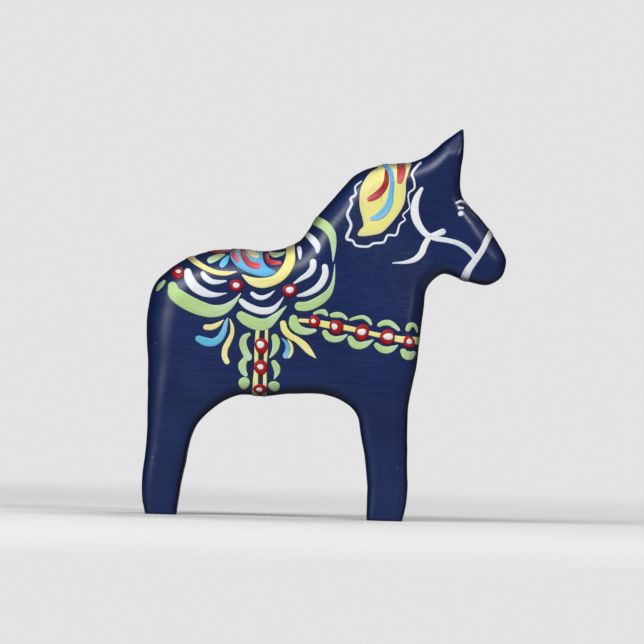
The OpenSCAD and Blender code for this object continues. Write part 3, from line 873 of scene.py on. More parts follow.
    def turned(self, points: np.ndarray) -> np.ndarray:
        """How far the surface has turned away from the flank: the mask of the painted edge shade.

        Args:
            points: x, y and z on the last axis.

        Returns:
            0 on the flanks, rising to 1 where the surface faces along the horse, up or down.
        """
        near = self.look_up(points[..., 0], points[..., 2])
        return smooth(1 - near[..., 0] / (near[..., 1] * self.shade_band_share + self.shade_band_least))


@dataclass
class NetMesher:
    """Meshes a carving with one vertex in each lattice cell that its surface crosses."""

    carving: Carving
    cell: float
    out: float
    open_soles: bool
    room: tuple[float, float, float] = (61.0, 22.5, 132.5)
    rounds: int = 4

    def build(self) -> tuple[np.ndarray, np.ndarray]:
        """Builds the outer surface.

        The lattice stands half a cell below the soles, so the lowest vertices lie on z = 0.

        Returns:
            Vertices in millimetres, and quads that face outwards.
        """
        low = np.array([-self.room[0], -self.room[1], -self.cell / 2])
        high = np.array(self.room)
        axes = [np.arange(a, b, self.cell) for a, b in zip(low, high)]
        lattice = np.stack(np.meshgrid(*axes, indexing="ij"), -1)
        values = np.minimum(self.carving.field(lattice, self.out), lattice[..., 2])
        inside = values > 0
        cells = tuple(n - 1 for n in values.shape)
        held = np.zeros(cells, int)
        for i, j, k in np.ndindex(2, 2, 2):
            held += inside[i : i + cells[0], j : j + cells[1], k : k + cells[2]]
        active = (held > 0) & (held < 8)
        number = np.full(cells, -1)
        number[active] = np.arange(active.sum())
        places = np.argwhere(active)
        points = self._crossings(places, values) * self.cell + low
        quads = self._quads(inside, number)
        return self._relax(points, quads, places[:, 2] == 0)

    @staticmethod
    def _crossings(places: np.ndarray, values: np.ndarray) -> np.ndarray:
        """Mean of the points where the surface crosses a cell's twelve edges.

        Args:
            places: lattice places of the cells.
            values: the field at the lattice points.

        Returns:
            One point per cell, in cells from the lattice's first point.
        """
        total, count = np.zeros(places.shape), np.zeros(len(places))
        corners = np.array(list(np.ndindex(2, 2, 2)))
        for axis in range(3):
            for corner in corners[corners[:, axis] == 0]:
                start = places + corner
                end = start + np.eye(3, dtype=int)[axis]
                a, b = values[tuple(start.T)], values[tuple(end.T)]
                crossed = (a > 0) != (b > 0)
                share = np.where(crossed, a / np.where(crossed, a - b, 1), 0)
                point = start + share[:, None] * np.eye(3)[axis]
                total += np.where(crossed[:, None], point, 0)
                count += crossed
        return total / count[:, None]

    def _quads(self, inside: np.ndarray, number: np.ndarray) -> np.ndarray:
        """Joins the four cells round each lattice edge that the surface crosses.

        Args:
            inside: whether each lattice point is inside.
            number: each cell's vertex, or -1.

        Returns:
            Quads that face outwards.
        """
        found = []
        for axis in range(3):
            one, two = (axis + 1) % 3, (axis + 2) % 3
            start = np.take(inside, range(inside.shape[axis] - 1), axis)
            end = np.take(inside, range(1, inside.shape[axis]), axis)
            edges = np.argwhere(start != end)
            if axis == 2 and self.open_soles:
                edges = edges[edges[:, 2] > 0]
            outward = start[tuple(edges.T)]
            around = []
            for shift_one, shift_two in ((1, 1), (0, 1), (0, 0), (1, 0)):
                place = edges.copy()
                place[:, one] -= shift_one
                place[:, two] -= shift_two
                around.append(number[tuple(place.T)])
            quads = np.stack(around, 1)
            found.append(np.where(outward[:, None], quads, quads[:, ::-1]))
        return np.concatenate(found)

    def _relax(
        self, points: np.ndarray, quads: np.ndarray, sole: np.ndarray
    ) -> tuple[np.ndarray, np.ndarray]:
        """Spreads the vertices evenly over the surface and keeps the sole's at z = 0.

        Args:
            points: vertices.
            quads: faces.
            sole: which vertices are on the sole.

        Returns:
            Vertices and quads.
        """
        rim = sole & (np.abs(self.carving.field(points, self.out)) < self.cell)
        points[sole, 2] = 0
        for _ in range(self.rounds):
            total, count = np.zeros_like(points), np.zeros(len(points))
            for turn in (1, 3):
                np.add.at(total, quads, points[np.roll(quads, turn, 1)])
                np.add.at(count, quads, 1)
            spread = total / np.maximum(count, 1)[:, None]
            free = ~sole
            points[free] = self.carving.settle(spread[free], self.out, times=2)
            points[rim] = self.carving.settle(points[rim], self.out, level=True, times=2)
        return points, quads


# ---- Meshes ------------------------------------------------------------------------------------


class Workshop:
    """Makes mesh objects in the horse's frame and dresses them."""

    def __init__(self, effects: Effects) -> None:
        """Makes one material of each finish."""
        self.materials = {paint: finish.material(effects) for paint, finish in FINISHES.items()}

    def piece(
        self,
        name: str,
        points: np.ndarray,
        faces: np.ndarray,
        paint: Paint,
        nodes: tuple[str, ...],
        turned: np.ndarray,
        uv: np.ndarray | None = None,
        tail: np.ndarray | None = None,
    ) -> None:
        """Makes one piece, dresses it and fastens it to the frame.

        Args:
            name: the piece's name.
            points: vertices in millimetres.
            faces: quads.
            paint: which finish it has.
            nodes: CAD nodes that it stands for.
            turned: for each vertex, how far the surface has turned from the flank, which sets the
                painted edge shade.
            uv: for each vertex, its place along and across its stroke.
            tail: for each vertex, how near the dry end of its stroke it is.
        """
        mesh = bpy.data.meshes.new(name)
        mesh.from_pydata((points * MM).tolist(), [], faces.tolist())
        mesh.shade_smooth()
        shares = {"turned": turned} if tail is None else {"turned": turned, "tail": tail}
        for label, share in shares.items():
            values = mesh.attributes.new(label, "FLOAT", "POINT").data
            values.foreach_set("value", share.astype(np.float32))
        if uv is not None:
            layer = mesh.uv_layers.new(name=StrokeMesh.UV)
            layer.uv.foreach_set("vector", uv[faces.ravel()].astype(np.float32).ravel())
        mesh.materials.append(self.materials[paint])
        made = bpy.data.objects.new(name, mesh)
        bpy.context.scene.collection.objects.link(made)
        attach(made, BODY)
        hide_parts(*nodes)
        LOG.info("%s: %d faces", name, len(faces))


@dataclass
class WoodAndCoat:
    """The carved block, bare at its four soles, and the base coat dipped over it."""

    carving: Carving
    thickness: float = 0.3
    inner_share: float = 0.9
    under_coat: float = 0.05
    cell: float = 1.0

    def build(self, workshop: Workshop) -> None:
        """Makes the wood and the coat."""
        self._wood(workshop)
        self._coat(workshop)

    def _wood(self, workshop: Workshop) -> None:
        """The block: the carving's own surface, closed at the soles."""
        points, faces = NetMesher(self.carving, self.cell, -self.under_coat, False).build()
        workshop.piece(
            "pine_block", points, faces, Paint.PINE, ("pine_body",), self.carving.turned(points)
        )

    def _coat(self, workshop: Workshop) -> None:
        """The coat: the carving's surface moved out by the coat's thickness, and an inner skin.

        The inner skin is the outer one moved back along its normals, faced the other way, and a
        ring of quads joins the two round each open sole.
        """
        outer, faces = NetMesher(self.carving, self.cell, self.thickness, True).build()
        normal = self.carving.normal(outer, self.thickness)
        normal[outer[:, 2] < TINY, 2] = 0
        normal /= np.maximum(np.linalg.norm(normal, axis=1, keepdims=True), TINY)
        inner = outer - normal * self.thickness * self.inner_share
        count = len(outer)
        ahead = np.roll(faces, -1, 1)
        sides = np.concatenate([np.stack([faces[:, i], ahead[:, i]], 1) for i in range(4)])
        key = np.sort(sides, 1) @ [count, 1]
        _, first, times = np.unique(key, return_index=True, return_counts=True)
        rim = sides[first[times == 1]]
        ring = np.stack([rim[:, 1], rim[:, 0], rim[:, 0] + count, rim[:, 1] + count], 1)
        workshop.piece(
            "base_coat",
            np.concatenate([outer, inner]),
            np.concatenate([faces, faces[:, ::-1] + count, ring]),
            Paint.NAVY,
            ("blue_coat",),
            np.tile(self.carving.turned(outer), 2),
        )


Stroke = tuple[tuple[float, float, float], ...]
Dab = tuple[float, float, float, float]


@dataclass
class StrokeMesh:
    """Grids of paint that are laid on the coat, one after the other, into one mesh."""

    carving: Carving
    coat: float
    base: float
    relief: float
    UV = "stroke"
    spacing: float = 0.45
    across: int = 11
    bed: float = 0.12
    dip: float = 0.10
    span_steps: int = 24
    cap_steps: int = 8
    least_half: float = 0.03
    least_step: float = 0.02
    eye_share: float = 0.02
    full_relief_at: float = 1.6
    uv_length: float = 10.0
    uv_shift: float = 7.3
    dab_steps: int = 32
    dab_rings: int = 8
    dab_dome: float = 2.0
    area_steps: int = 8
    area_rings: int = 40
    area_flatness: float = 10.0
    points: list[np.ndarray] = field(default_factory=list)
    faces: list[np.ndarray] = field(default_factory=list)
    uvs: list[np.ndarray] = field(default_factory=list)
    tails: list[np.ndarray] = field(default_factory=list)
    laid: int = 0
    count: int = 0

    def stroke(self, spots: Stroke) -> None:
        """Lays one stroke on both flanks.

        The middle line is a smooth curve through the points, with the width between them eased the
        same way. Each end is half a circle of the width there.

        Args:
            spots: x, z and width along the stroke.
        """
        knots = np.array(spots, float)
        dense = self._through(knots, self.span_steps)
        paces = np.linalg.norm(np.diff(dense[:, :2], axis=0), axis=1)
        run = np.concatenate([[0], np.cumsum(paces)])
        radii = dense[0, 2] / 2, dense[-1, 2] / 2
        cap = np.sin(np.linspace(0, np.pi / 2, self.cap_steps))[:-1]
        along = np.concatenate([-radii[0] * cap[::-1][:-1], run, run[-1] + radii[1] * cap[1:]])
        along = np.concatenate([[-radii[0]], along, [run[-1] + radii[1]]])
        along = np.unique(np.round(along, 5))
        middle = np.stack([np.interp(along, run, dense[:, i]) for i in range(3)], 1)
        heading = np.gradient(dense[:, :2], run, axis=0)
        heading = np.stack([np.interp(along, run, heading[:, i]) for i in range(2)], 1)
        heading /= np.linalg.norm(heading, axis=1, keepdims=True)
        before, after = np.minimum(along, 0), np.maximum(along - run[-1], 0)
        middle[:, :2] += heading * (before + after)[:, None]
        end = np.clip(-before / radii[0], 0, 1) + np.clip(after / radii[1], 0, 1)
        round_end = np.sqrt(np.maximum(1 - end**2, 0))
        half = np.maximum(middle[:, 2] / 2 * round_end, self.least_half)
        settled = self.carving.on_flank(middle[:, :2], self.coat)
        step = np.linalg.norm(np.diff(settled, axis=0), axis=1) + self.least_step * np.diff(along)
        travel = np.concatenate([[0], np.cumsum(step)])
        steps = max(int(travel[-1] / self.spacing), 8)
        share = np.linspace(0, 1, steps + 1)
        edges = min(radii[0] * 2 / travel[-1], 0.3), min(radii[1] * 2 / travel[-1], 0.3)
        ends = edges[0] * (1 - cap), 1 - edges[1] * (1 - cap)
        share = np.unique(np.concatenate([share, *ends]).round(5))
        at = np.interp(share * travel[-1], travel, along)
        columns = [middle[:, 0], middle[:, 1], heading[:, 0], heading[:, 1], half]
        cx, cz, hx, hz, half = (np.interp(at, along, column) for column in columns)
        v = np.sin(np.linspace(-np.pi / 2, np.pi / 2, self.across))
        x = cx[:, None] - hz[:, None] * half[:, None] * v
        z = cz[:, None] + hx[:, None] * half[:, None] * v
        thick = np.minimum(half * self.full_relief_at, 1.0)[:, None] * np.sqrt(1 - v**4)
        self._lay(np.stack([x, z], -1), thick, at, v)

    def dab(self, spot: Dab) -> None:
        """Lays one round dab on both flanks: rings about its middle, domed like a drop.

        Args:
            spot: x, z, half of the length and half of the height.
        """
        turn = np.linspace(0, 2 * np.pi, self.dab_steps + 1)[:-1]
        wobble = 1 + 0.05 * np.sin(2 * turn + spot[0]) + 0.04 * np.sin(3 * turn + spot[1])
        edge = np.stack([np.cos(turn) * spot[2] * wobble, np.sin(turn) * spot[3] * wobble], 1)
        self._patch(np.array(spot[:2]), edge, self.dab_rings, self.dab_dome)

    def area(self, middle: tuple[float, float], outline: tuple[tuple[float, float], ...]) -> None:
        """Lays one filled area on both flanks: rings from its middle to a smooth outline.

        Args:
            middle: x and z of a point that sees the whole outline.
            outline: x and z of the outline's points.
        """
        knots = np.array([(*spot, 0) for spot in outline], float)
        closed = np.concatenate([knots[-2:], knots, knots[:3]])
        first = 2 * self.area_steps
        last = first + self.area_steps * len(knots)
        dense = self._through(closed, self.area_steps)[first:last, :2]
        self._patch(np.array(middle), dense - middle, self.area_rings, self.area_flatness)

    @staticmethod
    def _through(knots: np.ndarray, steps: int) -> np.ndarray:
        """Runs a Catmull-Rom curve through points.

        Args:
            knots: the points, of any dimension.
            steps: samples per span.

        Returns:
            Samples along the curve, the last point included.
        """
        if len(knots) == 1:
            return knots
        ends = np.concatenate([2 * knots[:1] - knots[1:2], knots, 2 * knots[-1:] - knots[-2:-1]])
        a, b, c, d = ends[:-3, None], ends[1:-2, None], ends[2:-1, None], ends[3:, None]
        f = (np.arange(steps) / steps)[None, :, None]
        bend, twist = 2 * a - 5 * b + 4 * c - d, 3 * b - a - 3 * c + d
        curve = 0.5 * (2 * b + (c - a) * f + bend * f**2 + twist * f**3)
        return np.concatenate([curve.reshape(-1, knots.shape[1]), knots[-1:]])

    def _lay(self, spots: np.ndarray, thick: np.ndarray, along: np.ndarray, v: np.ndarray) -> None:
        """Lays a grid of sections: an upper skin, a bed under it, and quads that close its edges.

        Args:
            spots: x and z of each point of each section.
            thick: share of the relief at each point.
            along: place along the stroke of each section.
            v: place across the stroke, from -1 to 1.
        """
        rows, columns = spots.shape[:2]
        ring = np.arange(2 * columns)
        index = np.arange(rows)[:, None] * 2 * columns + ring
        nxt = np.roll(index, -1, 1)
        sides = np.stack([index[:-1], nxt[:-1], nxt[1:], index[1:]], -1).reshape(-1, 4)
        upper, lower = ring[: columns - 1], 2 * columns - 1 - ring[: columns - 1]
        cap = np.stack([upper, lower, lower - 1, upper + 1], -1)
        faces = np.concatenate([sides, cap, cap[:, ::-1] + (rows - 1) * 2 * columns])
        uv = np.stack(
            np.broadcast_arrays(
                along[:, None] / self.uv_length + self.uv_shift * self.laid, v[None] / 2 + 0.5
            ),
            -1,
        )
        gone = np.clip((along - along[0]) / (along[-1] - along[0]) * 1.5 - 0.5, 0, 1) ** 1.5
        tail = np.broadcast_to(gone[:, None], thick.shape)
        self._both_flanks(
            spots,
            thick,
            uv,
            tail,
            faces,
            lambda top, bed: np.concatenate([top, bed[:, ::-1]], 1),
        )

    def _patch(self, middle: np.ndarray, edge: np.ndarray, rings: int, power: float) -> None:
        """Lays a grid of rings: an upper skin and a bed, joined at the edge and at the middle.

        Args:
            middle: x and z of the middle.
            edge: the outline, from the middle.
            rings: number of rings.
            power: how flat the top is; 2 is a dome.
        """
        share = (np.arange(rings) + 1) / rings
        share = share * (2 - share) if power > self.dab_dome else share
        spots = middle + share[:, None, None] * edge
        eye = np.broadcast_to(middle, (1, *edge.shape)) + self.eye_share * edge
        spots = np.concatenate([eye, spots])
        share = np.concatenate([[self.eye_share], share])
        thick = np.sqrt(np.maximum(1 - share**power, 0))[:, None] * np.ones(len(edge))
        rows, columns = spots.shape[:2]
        stack = np.arange(2 * rows * columns).reshape(2 * rows, columns)
        nxt = np.roll(stack, -1, 1)
        faces = np.stack([stack[:-1], nxt[:-1], nxt[1:], stack[1:]], -1).reshape(-1, 4)
        fold = np.arange(columns // 2 - 1)
        cap = np.stack([fold, fold + 1, columns - 2 - fold, columns - 1 - fold], -1)
        faces = np.concatenate([faces, cap[:, ::-1], cap + (2 * rows - 1) * columns])
        turn = np.arange(columns) / columns
        uv = np.stack(
            np.broadcast_arrays(turn * 2 + self.uv_shift * self.laid, 0.5 + share[:, None] / 2),
            -1,
        )
        self._both_flanks(
            spots,
            thick,
            uv,
            0 * thick,
            faces,
            lambda top, bed: np.concatenate([top, bed[::-1]], 0),
        )

    def _both_flanks(
        self,
        spots: np.ndarray,
        thick: np.ndarray,
        uv: np.ndarray,
        tail: np.ndarray,
        faces: np.ndarray,
        join: Callable[[np.ndarray, np.ndarray], np.ndarray],
    ) -> None:
        """Sets a grid on the coat and repeats it on the other flank.

        Past the middle plane the upper skin dips into the coat, under the other flank's stroke.

        Args:
            spots: x and z of the grid's points.
            thick: share of the relief at each point.
            uv: place along and across at each point.
            tail: how near the stroke's dry end each point is.
            faces: quads of the joined skins.
            join: puts the upper skin and the bed in the order that the faces number them.
        """
        ground = self.carving.on_flank(spots, self.coat)
        normal = self.carving.normal(ground, self.coat)
        normal /= np.maximum(np.linalg.norm(normal, axis=-1, keepdims=True), TINY)
        shown = smooth(1 + ground[..., 1] / self.carving.past_middle)
        rise = (self.base + self.relief * thick) * shown - self.dip * (1 - shown)
        top = ground + normal * rise[..., None]
        bed = ground - normal * self.bed
        points = join(top, bed).reshape(-1, 3)
        uv, tail = join(uv, uv).reshape(-1, 2), join(tail, tail).ravel()
        areas = self._areas(points, faces)[1]
        if np.sum(areas * self._outward(points, faces)) < 0:
            faces = faces[:, ::-1]
        for side, order in ((1, faces), (-1, faces[:, ::-1])):
            self.points.append(points * [1, side, 1])
            self.faces.append(order + self.count)
            self.uvs.append(uv)
            self.tails.append(tail)
            self.count += len(points)
        self.laid += 1

    @staticmethod
    def _areas(points: np.ndarray, faces: np.ndarray) -> tuple[np.ndarray, np.ndarray]:
        """Middle and area vector of each quad.

        Args:
            points: vertices.
            faces: quads.

        Returns:
            The middles and the area vectors.
        """
        corner = points[faces]
        one, other = corner[:, 2] - corner[:, 0], corner[:, 3] - corner[:, 1]
        return corner.mean(1), np.cross(one, other) / 2

    def _outward(self, points: np.ndarray, faces: np.ndarray) -> np.ndarray:
        """Direction from the mean point to each quad's middle.

        Args:
            points: vertices.
            faces: quads.

        Returns:
            One vector per quad; its sum with the area vectors is three times the volume.
        """
        return self._areas(points, faces)[0] - points.mean(0)

    def finish(self, workshop: Workshop, name: str, paint: Paint, nodes: tuple[str, ...]) -> None:
        """Joins the strokes into one piece.

        Args:
            workshop: makes and dresses the piece.
            name: the piece's name.
            paint: which paint it is.
            nodes: CAD nodes that it stands for.
        """
        points = np.concatenate(self.points)
        workshop.piece(
            name,
            points,
            np.concatenate(self.faces),
            paint,
            nodes,
            self.carving.turned(points),
            np.concatenate(self.uvs),
            np.concatenate(self.tails),
        )


class Layer(Enum):
    """How high a stroke stands over the coat, by what it is laid on: base and relief in mm."""

    FIRST = (0.03, 0.08)
    SECOND = (0.12, 0.08)
    THIRD = (0.20, 0.08)
    DROP = (0.13, 0.30)
    CENTRE = (0.37, 0.22)


@dataclass(frozen=True)
class Colour:
    """One colour of a sub-assembly: its strokes, dabs and areas, laid as one piece."""

    node: str
    paint: Paint
    layer: Layer
    strokes: tuple[Stroke, ...] = ()
    dabs: tuple[Dab, ...] = ()
    areas: tuple[tuple[tuple[float, float], tuple[tuple[float, float], ...]], ...] = ()


class Brushwork:
    """A sub-assembly of the decoration: a class with one field per colour of its pattern."""

    def build(self, workshop: Workshop, carving: Carving, coat: float) -> None:
        """Lays the colours in the order in which the painter lays them.

        Args:
            workshop: makes and dresses the pieces.
            carving: the carved horse.
            coat: thickness of the base coat.
        """
        for colour in vars(self).values():
            mesh = StrokeMesh(carving, coat, *colour.layer.value)
            for spots in colour.strokes:
                mesh.stroke(spots)
            for spot in colour.dabs:
                mesh.dab(spot)
            for middle, outline in colour.areas:
                mesh.area(middle, outline)
            mesh.finish(workshop, colour.node + "_brushed", colour.paint, (colour.node,))


@dataclass
class Mane(Brushwork):
    """The mane panel on the crest, its comma strokes and the wavy line that hangs round it."""

    line: Colour = Colour(
        "mane_scallop_line", Paint.WHITE, Layer.FIRST,
        strokes=(
            ((29.6, 118.4, 0.8), (28.3, 117, 0.8), (26.9, 114.6, 0.8), (27.6, 112.5, 0.7),
             (27.8, 109.9, 0.6), (26, 108.2, 0.5), (26, 105.8, 0.45), (26.4, 103.4, 0.45),
             (24.3, 101, 0.45), (25.1, 99.4, 0.5), (23.3, 97.8, 0.6), (22.3, 94.4, 0.7),
             (19.5, 94.1, 0.75), (18.2, 91.8, 0.75), (15, 91.3, 0.75), (13, 90.2, 0.75),
             (9.2, 90.4, 0.8), (8, 91.9, 0.8), (6, 92.8, 1.1), (7.3, 97, 0.95), (6, 100.5, 0.95),
             (7.3, 104, 0.9), (6.9, 105.8, 0.9), (8.5, 107.3, 0.8), (8.3, 109.8, 0.6),
             (10.2, 111.6, 0.5)),
        ),
    )
    panel: Colour = Colour(
        "mane_panel", Paint.YELLOW, Layer.FIRST,
        areas=(
            (
                (17.5, 103),
                ((15.2, 119.4), (15.9, 116.8), (13.3, 114.8), (11.6, 112.6), (10.2, 109.5),
                 (9.8, 106), (10.1, 102.5), (11, 99.5), (11.4, 97), (10.3, 95.6), (9.6, 94.1),
                 (10.2, 93.6), (12.5, 93.7), (15.2, 94.2), (17.5, 95), (19.5, 97), (21.5, 99.4),
                 (23.4, 102.3), (24.6, 105), (25, 108), (25, 112), (25.7, 115), (26.5, 118),
                 (25.8, 120.6), (20, 120)),
            ),
        ),
    )
    red: Colour = Colour(
        "mane_panel_red_strokes", Paint.RED, Layer.SECOND,
        strokes=(
            ((18.4, 115.4, 1), (18.5, 112, 1.8), (17.3, 109.2, 2.2), (15.2, 107, 2.4),
             (13.1, 105.8, 1.7)),
            ((23.3, 121, 3), (23.4, 116, 2.9), (23.2, 113.6, 2.5), (22.9, 112.1, 1.9)),
        ),
    )
    blue: Colour = Colour(
        "mane_panel_blue_stroke", Paint.BLUE, Layer.SECOND,
        strokes=(
            ((16.6, 121, 1.8), (18.2, 117.2, 1.8), (19.7, 115.2, 1.7), (20.4, 112, 1.5),
             (20.2, 108, 1.8), (19.6, 104.5, 2.4), (17.9, 101.6, 2.7), (15.8, 100, 2.3),
             (14, 99.4, 1.4)),
        ),
    )


@dataclass
class Bridle(Brushwork):
    """White bridle on both cheeks, its noseband and the marks of the eyes."""

    cheeks: Colour = Colour(
        "bridle_cheek_straps", Paint.WHITE, Layer.FIRST,
        strokes=(
            ((30.2, 109.8, 1.2), (28.7, 106.8, 2.1), (28.1, 103.5, 2.6), (28.5, 100.3, 2.7),
             (30, 97.3, 2.3), (32.3, 94.8, 2), (35.5, 93.6, 1.8), (39.5, 93, 1.6), (43, 92.1, 1.7),
             (46, 90.3, 1.8), (48.6, 87.5, 1.6)),
            ((34.3, 94.4, 1.9), (36, 95.2, 1.9), (37.6, 95.9, 2.1)),
            ((33, 93.6, 1.8), (31.7, 91, 2.1), (30.8, 88.6, 2.1), (28.7, 86.5, 1.8),
             (25.5, 85.4, 1.1), (21.4, 85, 0.4)),
        ),
    )
    noseband: Colour = Colour(
        "bridle_noseband", Paint.WHITE, Layer.SECOND,
        strokes=(
            ((55.3, 99, 2), (54.4, 97.4, 2), (52.6, 94.3, 2), (50.7, 90, 2), (48, 86, 2.2),
             (46.3, 83.3, 2.5), (44.9, 79.6, 2.8), (44.4, 77.8, 2.8)),
        ),
    )
    eyes: Colour = Colour(
        "eye_marks", Paint.WHITE, Layer.FIRST,
        strokes=(
            ((41.8, 105.5, 0.6), (43.3, 106.1, 0.9), (45, 105.7, 0.9), (46, 104.9, 0.7)),
            ((42.7, 103.9, 0.9), (44, 103.9, 0.7)),
        ),
        dabs=(
            (43.4, 102, 1, 0.8),
        ),
    )


@dataclass
class Saddle(Brushwork):
    """Saddle over the back: its rim, the flower inside it and the scallops that hang from it."""

    leaves: Colour = Colour(
        "saddle_leaves", Paint.GREEN, Layer.FIRST,
        strokes=(
            ((-34.2, 86.1, 0.6), (-35.6, 85.6, 1.5), (-37.2, 84.8, 2.1), (-38.7, 84.1, 2.1)),
            ((-19.2, 87.2, 1), (-17.6, 86.5, 1.6), (-15.4, 86.9, 1.1), (-14.4, 87.4, 0.6)),
        ),
    )
    flower_field: Colour = Colour(
        "saddle_flower_field", Paint.BLUE, Layer.FIRST,
        strokes=(
            ((-33, 85.4, 1), (-33.9, 83.9, 2.1), (-34.7, 82.7, 1.9)),
        ),
        areas=(
            (
                (-25.5, 84),
                ((-31.3, 90), (-32.2, 86), (-30.5, 83), (-27.8, 81.2), (-24.2, 79.8),
                 (-20.5, 79.3), (-17.6, 80.2), (-17, 81), (-19.5, 82.3), (-21, 84), (-21.6, 86.5),
                 (-21.8, 90), (-26.5, 90.2)),
            ),
        ),
    )
    flower_red: Colour = Colour(
        "saddle_flower_red", Paint.RED, Layer.SECOND,
        strokes=(
            ((-39.5, 87.4, 1), (-36, 87, 1.3), (-33.2, 87.5, 1)),
            ((-31, 91, 1.6), (-31.2, 86.8, 1.6), (-30.4, 85.2, 1.8), (-29.9, 84.3, 1.6)),
            ((-28, 91, 1.8), (-28, 87, 1.8), (-27.1, 84.9, 2), (-25.5, 83.1, 2.2),
             (-23.2, 82.7, 2.4)),
            ((-20.3, 86.4, 1), (-19.7, 84.7, 1.4), (-18.2, 83.9, 1.7), (-15.8, 83.9, 1.2)),
        ),
    )
    flower_yellow: Colour = Colour(
        "saddle_flower_yellow", Paint.YELLOW, Layer.THIRD,
        strokes=(
            ((-25.4, 91, 1.6), (-26, 87.6, 1.8), (-24.8, 86.6, 2), (-23.4, 85.9, 1.7)),
        ),
    )
    scallops_white: Colour = Colour(
        "saddle_scallops_white", Paint.WHITE, Layer.FIRST,
        strokes=(
            ((-46, 80, 2.4), (-45.4, 77.8, 3.2), (-43.6, 75.3, 3.2), (-41, 73.7, 2.9),
             (-38.5, 72.9, 2.1), (-36, 72.8, 1.3), (-33, 73.4, 0.3)),
            ((-41, 79.6, 1.6), (-40, 78.3, 2), (-38, 77.1, 1.8), (-35.8, 77, 1.4),
             (-33.4, 77.4, 0.7)),
            ((-28, 70.9, 1.8), (-26, 69.4, 2.3), (-22.5, 68.1, 2.3), (-19.5, 68, 2.3),
             (-17.2, 68.9, 1.8), (-15.5, 70.8, 1), (-14.3, 72.6, 0.4)),
            ((-24.5, 73.5, 1.4), (-23, 72.5, 1.6), (-21, 72.3, 1.5), (-19, 73.2, 1.1),
             (-17.3, 74.7, 0.3)),
            ((-4.8, 84.5, 2.2), (-4.9, 82.5, 2.2), (-6.3, 80.5, 2), (-8.5, 79, 1.5),
             (-10.8, 77.4, 0.7)),
            ((-0.9, 83, 2), (-0.7, 80.8, 2.2), (-1.7, 78, 2.3), (-3.7, 75.7, 2.2), (-6.8, 74, 1.6),
             (-9.5, 73.3, 0.8)),
            ((-6.6, 93.2, 2), (-4.8, 91.5, 2.4), (-3.6, 89.7, 2.2), (-3.5, 88, 1.2)),
            ((-9.6, 89, 1.4), (-9.3, 87.4, 1.4), (-9.2, 85.6, 0.8)),
        ),
    )
    scallops_green: Colour = Colour(
        "saddle_scallops_green", Paint.GREEN, Layer.SECOND,
        strokes=(
            ((-50.8, 75.1, 3), (-50.1, 73, 4.4), (-48.2, 71.4, 4.8), (-45, 69.6, 4.9),
             (-41.5, 68.2, 4.7), (-38, 67.4, 4.2), (-34.5, 67.8, 3.5), (-31.8, 69.4, 2.4),
             (-29.8, 71.4, 1.2), (-28.4, 73.4, 0.4)),
            ((-55.8, 73.8, 0.9), (-54.8, 75.3, 1.5), (-53.6, 76.7, 0.8)),
            ((-28, 66.1, 3), (-26, 64.8, 3.8), (-22.5, 63.5, 4), (-19.5, 63.8, 3.6),
             (-17.3, 65.5, 2.6), (-15.3, 67.5, 1.5), (-13.3, 69.7, 0.4)),
            ((-9, 69.8, 2.9), (-6.5, 69.9, 3.1), (-4, 70.9, 3.1), (-1.5, 72.5, 2.9),
             (0.6, 74.6, 2.2), (1.8, 77.5, 1.3), (2.2, 80.5, 0.7), (2.3, 84, 0.2)),
            ((-7, 99.5, 3.2), (-4, 98, 3.2), (-1.2, 96.5, 3.2), (0.8, 94.2, 2.8), (1.6, 91.3, 2.1),
             (1.8, 88.3, 1.3), (1.7, 85, 0.3)),
        ),
    )
    rim: Colour = Colour(
        "saddle_rim", Paint.YELLOW, Layer.THIRD,
        strokes=(
            ((-12.7, 93, 2.6), (-12.4, 88, 2.8), (-12.3, 85.5, 3.2), (-13, 83, 3.4),
             (-14.8, 80.2, 3.3), (-17.5, 78.1, 3.1), (-21.5, 77.1, 3.3), (-25, 77.7, 2.5),
             (-27.8, 79.4, 0.6)),
            ((-47.6, 87, 2), (-44.5, 84.1, 1.9), (-42, 82.4, 1.7), (-39, 80.9, 1.6),
             (-36, 80, 1.6), (-33, 79.9, 1.4), (-30, 80.5, 0.4)),
        ),
    )
    rosettes: Colour = Colour(
        "saddle_rosettes", Paint.RED, Layer.DROP,
        dabs=(
            (-49.2, 79.5, 1.9, 2.1), (-29.9, 76.1, 2.2, 2.1), (-12.3, 75, 2.4, 2.1),
        ),
    )
    centres: Colour = Colour(
        "saddle_rosette_centres", Paint.WHITE, Layer.CENTRE,
        dabs=(
            (-49, 79.9, 0.9, 0.7), (-29.9, 76.1, 1.1, 1), (-12.2, 75.1, 1.3, 1.1),
        ),
    )


